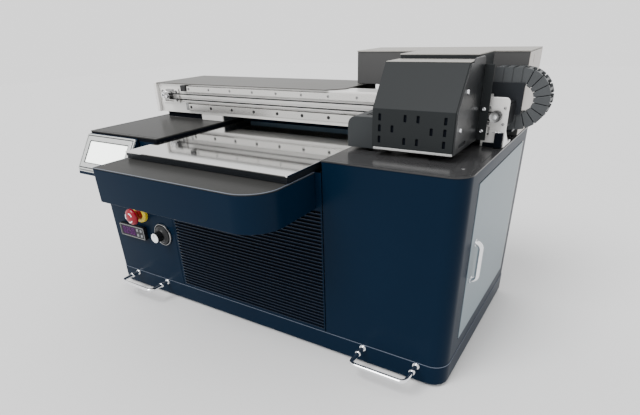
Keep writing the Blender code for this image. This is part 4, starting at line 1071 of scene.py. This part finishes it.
def build_rear_box():
    box = Box("rear_box")
    column = Box("right_column")
    body = box.slab(z=(Box("beam").z1 + 0.0024, box.z1 - 0.0022))
    under = box.slab(x=(column.x0 + 0.0014, box.x1), z=(box.z0, Box("beam").z1 + 0.010))
    shape = combined(body, [under], "UNION")
    piece("rear_box_shell", shape, GREY, ["rear_box"], bevel=EDGE)
    # A pale lid, painted light as the highlight on the box's top.
    lid = slab(box.x(-0.0006), box.y(-0.0010, 0), (box.z1 - 0.0022, box.z1))
    piece("rear_box_lid", lid, LIDGREY, slot="grey powder coat", bevel=0.0007, segments=3)
    side = slab((box.x1, box.x1 + 0.0009), box.y(0.0010), box.z(0.001, 0.0026))
    slot = prism(rounded((box.y0 + 0.032, box.y0 + 0.0352), (box.z1 - 0.021, box.z1 - 0.007),
                         (0.0015,) * 4, 5), "x", box.x1 - OVER, box.x1 + OVER)
    piece("rear_box_side", combined(side, [slot]), SIDE, bevel=HAIR)
    # A dark strip filling the latch slot, painted shade in the recess.
    dark = slab((box.x1 + 0.00005, box.x1 + 0.0002), (box.y0 + 0.030, box.y0 + 0.037),
                (box.z1 - 0.023, box.z1 - 0.005))
    piece("rear_box_latch_shade", dark, DARK)
    bolt_heads("rear_box_screws", "y", box.y1,
               [(x, z) for x in box.x(0.012) for z in (box.z1 - 0.012, box.z1 - 0.048)], 0.0028, 0.0013)


# ---------------------------------------------------------------- carriage


# The hood's front leans back from its bend. Slots are set out by rows and by shares of its width.
HOOD_BEND = 0.0557
HOOD_LEAN = 0.040
HOOD_WALL = 0.0016
VENT_ROWS = (0.0112, 0.0277, 0.0435)
VENT_COLUMNS = {0.095: (0, 1, 2), 0.258: (1,), 0.415: (0, 2), 0.573: (0, 2), 0.738: (1,), 0.895: (0, 1, 2)}
VENT_HALF = (0.0022, 0.0052)
CHEEK_SHEET = 0.0022
CHEEK_CORNER = 0.012
CHEEK_CROWN = 0.022


def hood_vents(cover):
    vents = []
    wide, high = VENT_HALF
    for share, rows in VENT_COLUMNS.items():
        x = cover.x0 + (cover.x1 - cover.x0) * share
        for row in rows:
            z = cover.z0 + VENT_ROWS[row]
            outline = rounded((x - wide, x + wide), (z - high, z + high), (0.0012,) * 4, 4)
            vents.append(prism(outline, "y", cover.y0 - OVER, cover.y0 + 0.005))
    return vents


def build_hood():
    cover = Box("carriage_cover")
    front, back, top = cover.y0, cover.y1, cover.z1
    bend_z = cover.z0 + HOOD_BEND
    slope_y = front + HOOD_LEAN
    wall = HOOD_WALL
    outline = [(front, cover.z0), (front, bend_z), (slope_y, top), (back, top), (back, cover.z0)]
    hollow = [(front + wall, cover.z0 - OVER), (front + wall, bend_z - 0.0006),
              (slope_y + 0.001, top - wall), (back + OVER, top - wall), (back + OVER, cover.z0 - OVER)]
    shell = combined(prism(outline, "x", *cover.x()),
                     [prism(hollow, "x", cover.x0 + wall, cover.x1 + OVER)])
    piece("carriage_hood", combined(shell, hood_vents(cover)), CHARCOAL, ["carriage_cover"],
          body="carriage", bevel=CRISP)
    # A dark sheet behind the hood's front, painted shade for the dark seen through its vents.
    liner = slab((cover.x0 + wall + 0.001, cover.x1 - 0.001),
                 (front + wall + 0.0006, front + wall + 0.0012), (cover.z0 + 0.002, bend_z - 0.003))
    piece("carriage_shade_liner", liner, DARK, body="carriage")
    inset = 0.0010
    end = [(front + inset, cover.z0 + inset), (front + inset, bend_z - inset / 2),
           (slope_y + inset / 2, top - inset), (back, top - inset), (back, cover.z0 + inset)]
    piece("carriage_end_wall", prism(end, "x", cover.x1 - 0.0030, cover.x1 + 0.0010), CHARCOAL,
          body="carriage")
    # A pale lid, painted light as the highlight on the hood's top.
    lid = slab(cover.x(0.0005, -0.001), (slope_y + 0.001, back), (top + 0.0001, top + 0.0012))
    piece("carriage_lid", lid, LIDGREY, body="carriage", bevel=CRISP)


def build_printhead():
    plate = Box("head_plate")
    head = Box("printhead")
    hole = slab(head.x(0.006), head.y(0.006), plate.z(-OVER))
    piece("carriage_base_plate", combined(plate.slab(), [hole]), ALUMINIUM, ["head_plate"],
          body="carriage", bevel=CRISP)
    flange = head.slab(z=(plate.z1 + CLEAR, plate.z1 + 0.006))
    body = slab(head.x(0.0066), head.y(0.0066), head.z(0.0012, 0))
    piece("printhead_body", merged([flange, body]), BLACK, ["printhead"], body="carriage", bevel=FINE)
    nozzles = slab(head.x(0.010), head.y(0.010), (head.z0, head.z0 + 0.0012))
    piece("nozzle_plate", nozzles, STEEL, body="carriage", bevel=HAIR)


def build_cheek():
    """The black end plate, whose edge follows the hood's front and rounds over its top."""
    cover = Box("carriage_cover")
    panel = Box("carriage_side_panel")
    front, top = cover.y0, cover.z1
    lean = [(panel.y0, panel.z0), (panel.y0, cover.z0 + HOOD_BEND), (front + HOOD_LEAN, top - 0.0010)]
    crown = arc((front + 0.065, panel.z1 - CHEEK_CROWN), CHEEK_CROWN, 132, 90, 5)
    fall = arc((panel.y1 - CHEEK_CORNER, panel.z1 - CHEEK_CORNER), CHEEK_CORNER, 90, 0, 10)
    sheet = prism(lean + crown + fall + [(panel.y1, panel.z0)], "x", panel.x0, panel.x0 + CHEEK_SHEET)
    window = prism(rounded((front + 0.018, front + 0.052), (panel.z0 + 0.006, panel.z0 + 0.0115),
                           (0.0026,) * 4, 5), "x", panel.x0 - OVER, panel.x0 + OVER)
    piece("carriage_cheek", combined(sheet, [window]), CHEEK, ["carriage_side_panel"], body="carriage",
          bevel=0.0018, segments=4)
    flange = slab(panel.x(0.0003, 0), (panel.y1 - 0.0020, panel.y1 - 0.0002), panel.z(0.0005, CHEEK_CORNER))
    piece("carriage_cheek_flange", flange, CHARCOAL, body="carriage", bevel=SOFT)
    places = [(front + 0.034, 0.4547), (front + 0.017, 0.4056)]
    bolt_heads("cheek_screws", "x", panel.x0 + CHEEK_SHEET, places, 0.0036, 0.0024, "carriage",
               paint=CHROME)
    places = [(panel.x0 + 0.0085, 0.4213), (panel.x0 + 0.0085, 0.3886)]
    bolt_heads("flange_screws", "y", panel.y1 - 0.0020, places, 0.0034, -0.0024, "carriage", paint=CHROME)


def dress_carriage():
    dress("carriage_plate", ALUMINIUM)
    dress("block_upper", STEEL)
    dress("block_lower", STEEL)


def build_ink_box():
    box = Box("ink_box")
    body = box.slab(z=box.z(0, 0.0018))
    piece("ink_box_shell", body, CHARCOAL, ["ink_box"], body="carriage", slot="black plastic",
          bevel=ROUND, segments=3)
    # A pale lid, painted light as the highlight on the ink box's top.
    lid = slab(box.x(-0.0004), box.y(-0.0004, 0), (box.z1 - 0.0018, box.z1))
    piece("ink_box_lid", lid, LIDGREY, body="carriage", bevel=SOFT)


def build_lamp():
    lamp = Box("uv_lamp")
    outline = [(lamp.x0, lamp.z0), (lamp.x1, lamp.z0), (lamp.x1, lamp.z1)]
    outline += arc((lamp.x0 + 0.014, lamp.z1 - 0.014), 0.014, 90, 180, 8)
    shell = prism(outline, "y", lamp.y0, lamp.y1)
    vents = [slab((lamp.x0 + 0.012 + 0.006 * k, lamp.x0 + 0.0145 + 0.006 * k), lamp.y(0.018),
                  (lamp.z1 - 0.003, lamp.z1 + OVER)) for k in range(2, 6)]
    piece("lamp_housing", combined(shell, vents), GRAPHITE, ["uv_lamp"], body="carriage", bevel=EDGE)
    glass = slab(lamp.x(0.010, 0.008), lamp.y(0.010), (lamp.z0 - 0.0008, lamp.z0 + 0.0004))
    piece("lamp_window", glass, AMBER, body="carriage", bevel=0.0002)


# ---------------------------------------------------------------- cable chain

LINK = 0.0150
BEND_LINKS = 9
UPPER_LINKS = 3


def chain_link(length, height, low_y, high_y, gap=0.0012):
    """One link along X from 0, standing on z 0: two cheeks and two cross bars, waisted at the joint."""
    wall = 0.0042
    cheeks = []
    for y0, y1 in ((low_y, low_y + wall), (high_y - wall, high_y)):
        outline = [(gap / 2, 0.0018), (gap / 2 + 0.0016, 0.0), (length - gap / 2, 0.0),
                   (length - gap / 2, height), (gap / 2 + 0.0016, height), (gap / 2, height - 0.0018)]
        cheeks.append(prism(outline, "y", y0, y1))
    for z in (0.0004, height - 0.0034):
        cheeks.append(slab((length * 0.24, length * 0.86),
                           (low_y + wall - 0.0002, high_y - wall + 0.0002), (z, z + 0.0030)))
    tongue = 0.0020
    for y0, y1 in ((low_y + 0.0012, low_y + wall - 0.0006), (high_y - wall + 0.0006, high_y - 0.0012)):
        cheeks.append(slab((length - gap, length + gap + tongue), (y0, y1), (0.0014, height - 0.0014)))
    return merged(cheeks)


def placed(bm, origin, angle):
    """A shape turned about Y by an angle, then moved."""
    bmesh.ops.rotate(bm, verts=bm.verts, cent=(0.0, 0.0, 0.0), matrix=Euler((0.0, angle, 0.0)).to_matrix())
    bmesh.ops.translate(bm, verts=bm.verts, vec=origin)
    return bm


def build_chain():
    upper = Box("chain_upper")
    bend = Box("chain_bend")
    lower = Box("chain_lower")
    height = upper.z1 - upper.z0
    y0, y1 = upper.y0, upper.y1
    middle_z = bend.middle().z
    outer = (bend.z1 - bend.z0) / 2
    inner = outer - height
    centre_x = bend.x0
    count = BEND_LINKS
    links = []
    laps = []
    step = pi / count
    root = (inner + 0.0004) * cos(step / 2)
    chord = 2 * (inner + 0.0004) * sin(step / 2)
    for k in range(count):
        angle = pi / 2 - step * (k + 0.5)
        along = Vector((sin(angle), 0.0, -cos(angle)))
        radial = Vector((cos(angle), 0.0, sin(angle)))
        start = Vector((centre_x, 0.0, middle_z)) + radial * root - along * chord / 2
        turn = pi / 2 - angle
        depth = outer * cos(step / 2) - root
        links.append(placed(wedge_link(chord, depth, y0, y1, step), start, turn))
        laps.append(placed(merged(hinge_plate(chord, depth, y0, y1, step)), start, turn))
    piece("chain_bend_links", merged(links), NYLON, ["chain_bend"], body="chain_bend", bevel=FINE)
    # The laps are nylon painted dark as shade in the link seams.
    piece("chain_bend_shaded_laps", merged(laps[:-1]), DARK, body="chain_bend", slot="chain nylon")
    upper_pitch = (upper.x1 - upper.x0) / UPPER_LINKS
    top_links = [placed(chain_link(upper_pitch, height, y0, y1),
                        Vector((upper.x0 + upper_pitch * k, 0.0, upper.z0)),
                        0.0) for k in range(UPPER_LINKS)]
    top = piece("chain_upper_links", merged(top_links), NYLON, ["chain_upper"], body=None)
    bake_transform(top)
    total = lower.x1 - lower.x0
    number = round(total / LINK)
    pitch = total / number
    low_links = [placed(chain_link(pitch, height, y0, y1), Vector((lower.x0 + pitch * k, 0.0, lower.z0)),
                        0.0) for k in range(number)]
    low = piece("chain_lower_links", merged(low_links), NYLON, ["chain_lower"])
    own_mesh(low)
    clamp = slab((lower.x0 - 0.004, lower.x0 + 0.004), (y0 + 0.004, y1 - 0.004),
                 (lower.z0 + CLEAR, lower.z0 + 0.004))
    piece("chain_anchor", clamp, SCREW, slot="ground steel", bevel=FINE)


def wedge_link(length, height, low_y, high_y, step):
    """A link of the bend: its cheeks fan out towards the outside and step in at the rim."""
    wall = 0.0042
    gap = 0.0005
    spread = height * step / 2
    shapes = []
    for y0, y1 in ((low_y, low_y + wall), (high_y - wall, high_y)):
        outline = [(gap, 0.0), (length - gap, 0.0), (length - gap + spread * 0.92, height * 0.93),
                   (length - gap + spread * 0.70, height), (gap - spread * 0.70, height),
                   (gap - spread * 0.92, height * 0.93)]
        shapes.append(prism(outline, "y", y0, y1))
    shapes.append(slab((length * 0.22, length * 0.78), (low_y + wall - 0.0002, high_y - wall + 0.0002),
                       (height - 0.0034, height - 0.0004)))
    shapes.append(slab((length * 0.25, length * 0.75), (low_y + wall - 0.0002, high_y - wall + 0.0002),
                       (0.0004, 0.0034)))
    return merged(shapes)


def hinge_plate(length, height, low_y, high_y, step):
    """The inner plates that lap across the seam at the end of a link of the bend, painted dark as shade in
    the seams.
    """
    wall = 0.0042
    spread = height * step / 2
    outline = [(length - 0.0040, height * 0.10), (length + 0.0030, height * 0.10),
               (length + 0.0030 + spread, height * 0.84), (length - 0.0040 + spread * 0.6, height * 0.84)]
    return [prism(outline, "y", y0, y1) for y0, y1 in ((low_y + 0.0012, low_y + wall - 0.0006),
                                                       (high_y - wall + 0.0006, high_y - 0.0012))]


# ---------------------------------------------------------------- stage


def build_stage():
    ground = slab((-6.0, 6.0), (-6.0, 6.0), (-0.02, -0.0002))
    mesh = bpy.data.meshes.new("floor")
    ground.to_mesh(mesh)
    ground.free()
    floor_object = bpy.data.objects.new("floor", mesh)
    SCENE.collection.objects.link(floor_object)
    mesh.materials.append(finish("pale_floor", "floor", (0.66, 0.66, 0.66), 0.75, vary=0.01, bump=0.0,
                                 grain=(60, 60, 60)))

    world = bpy.data.worlds.new("studio")
    SCENE.world = world
    world.use_nodes = True
    backdrop = world.node_tree.nodes["Background"]
    backdrop.inputs["Color"].default_value = (1.0, 1.0, 1.0, 1.0)
    backdrop.inputs["Strength"].default_value = 1.5
    overhead = bpy.data.lights.new("overhead", "SUN")
    overhead.energy = 3.2
    overhead.angle = radians(30)
    holder = bpy.data.objects.new("overhead", overhead)
    holder.rotation_euler = (radians(34), radians(-16), 0.0)
    SCENE.collection.objects.link(holder)


def build_camera():
    camera = bpy.data.cameras.new("camera")
    camera.lens = 26.06
    camera.sensor_width = 36.0
    camera.shift_x = 0.0052
    camera.shift_y = 0.1160
    camera.clip_start = 0.01
    holder = bpy.data.objects.new("camera", camera)
    holder.location = (0.5263, -0.7211, 0.5453)
    holder.rotation_euler = (radians(60.785), radians(1.877), radians(32.168))
    SCENE.collection.objects.link(holder)
    SCENE.camera = holder


build_stage()
build_camera()
build_plinth()
build_left_column()
build_right_column()
build_feet()
build_rear_panel()
build_louvre()
build_door()
build_handles()
build_housing()
build_stop_button()
build_controller()
build_selector()
build_console()
build_table()
build_beam()
build_belt()
build_end_plate()
build_beam_cover()
build_pillars()
build_bracket()
build_rear_box()
build_hood()
build_printhead()
build_cheek()
dress_carriage()
build_ink_box()
build_lamp()
build_chain()
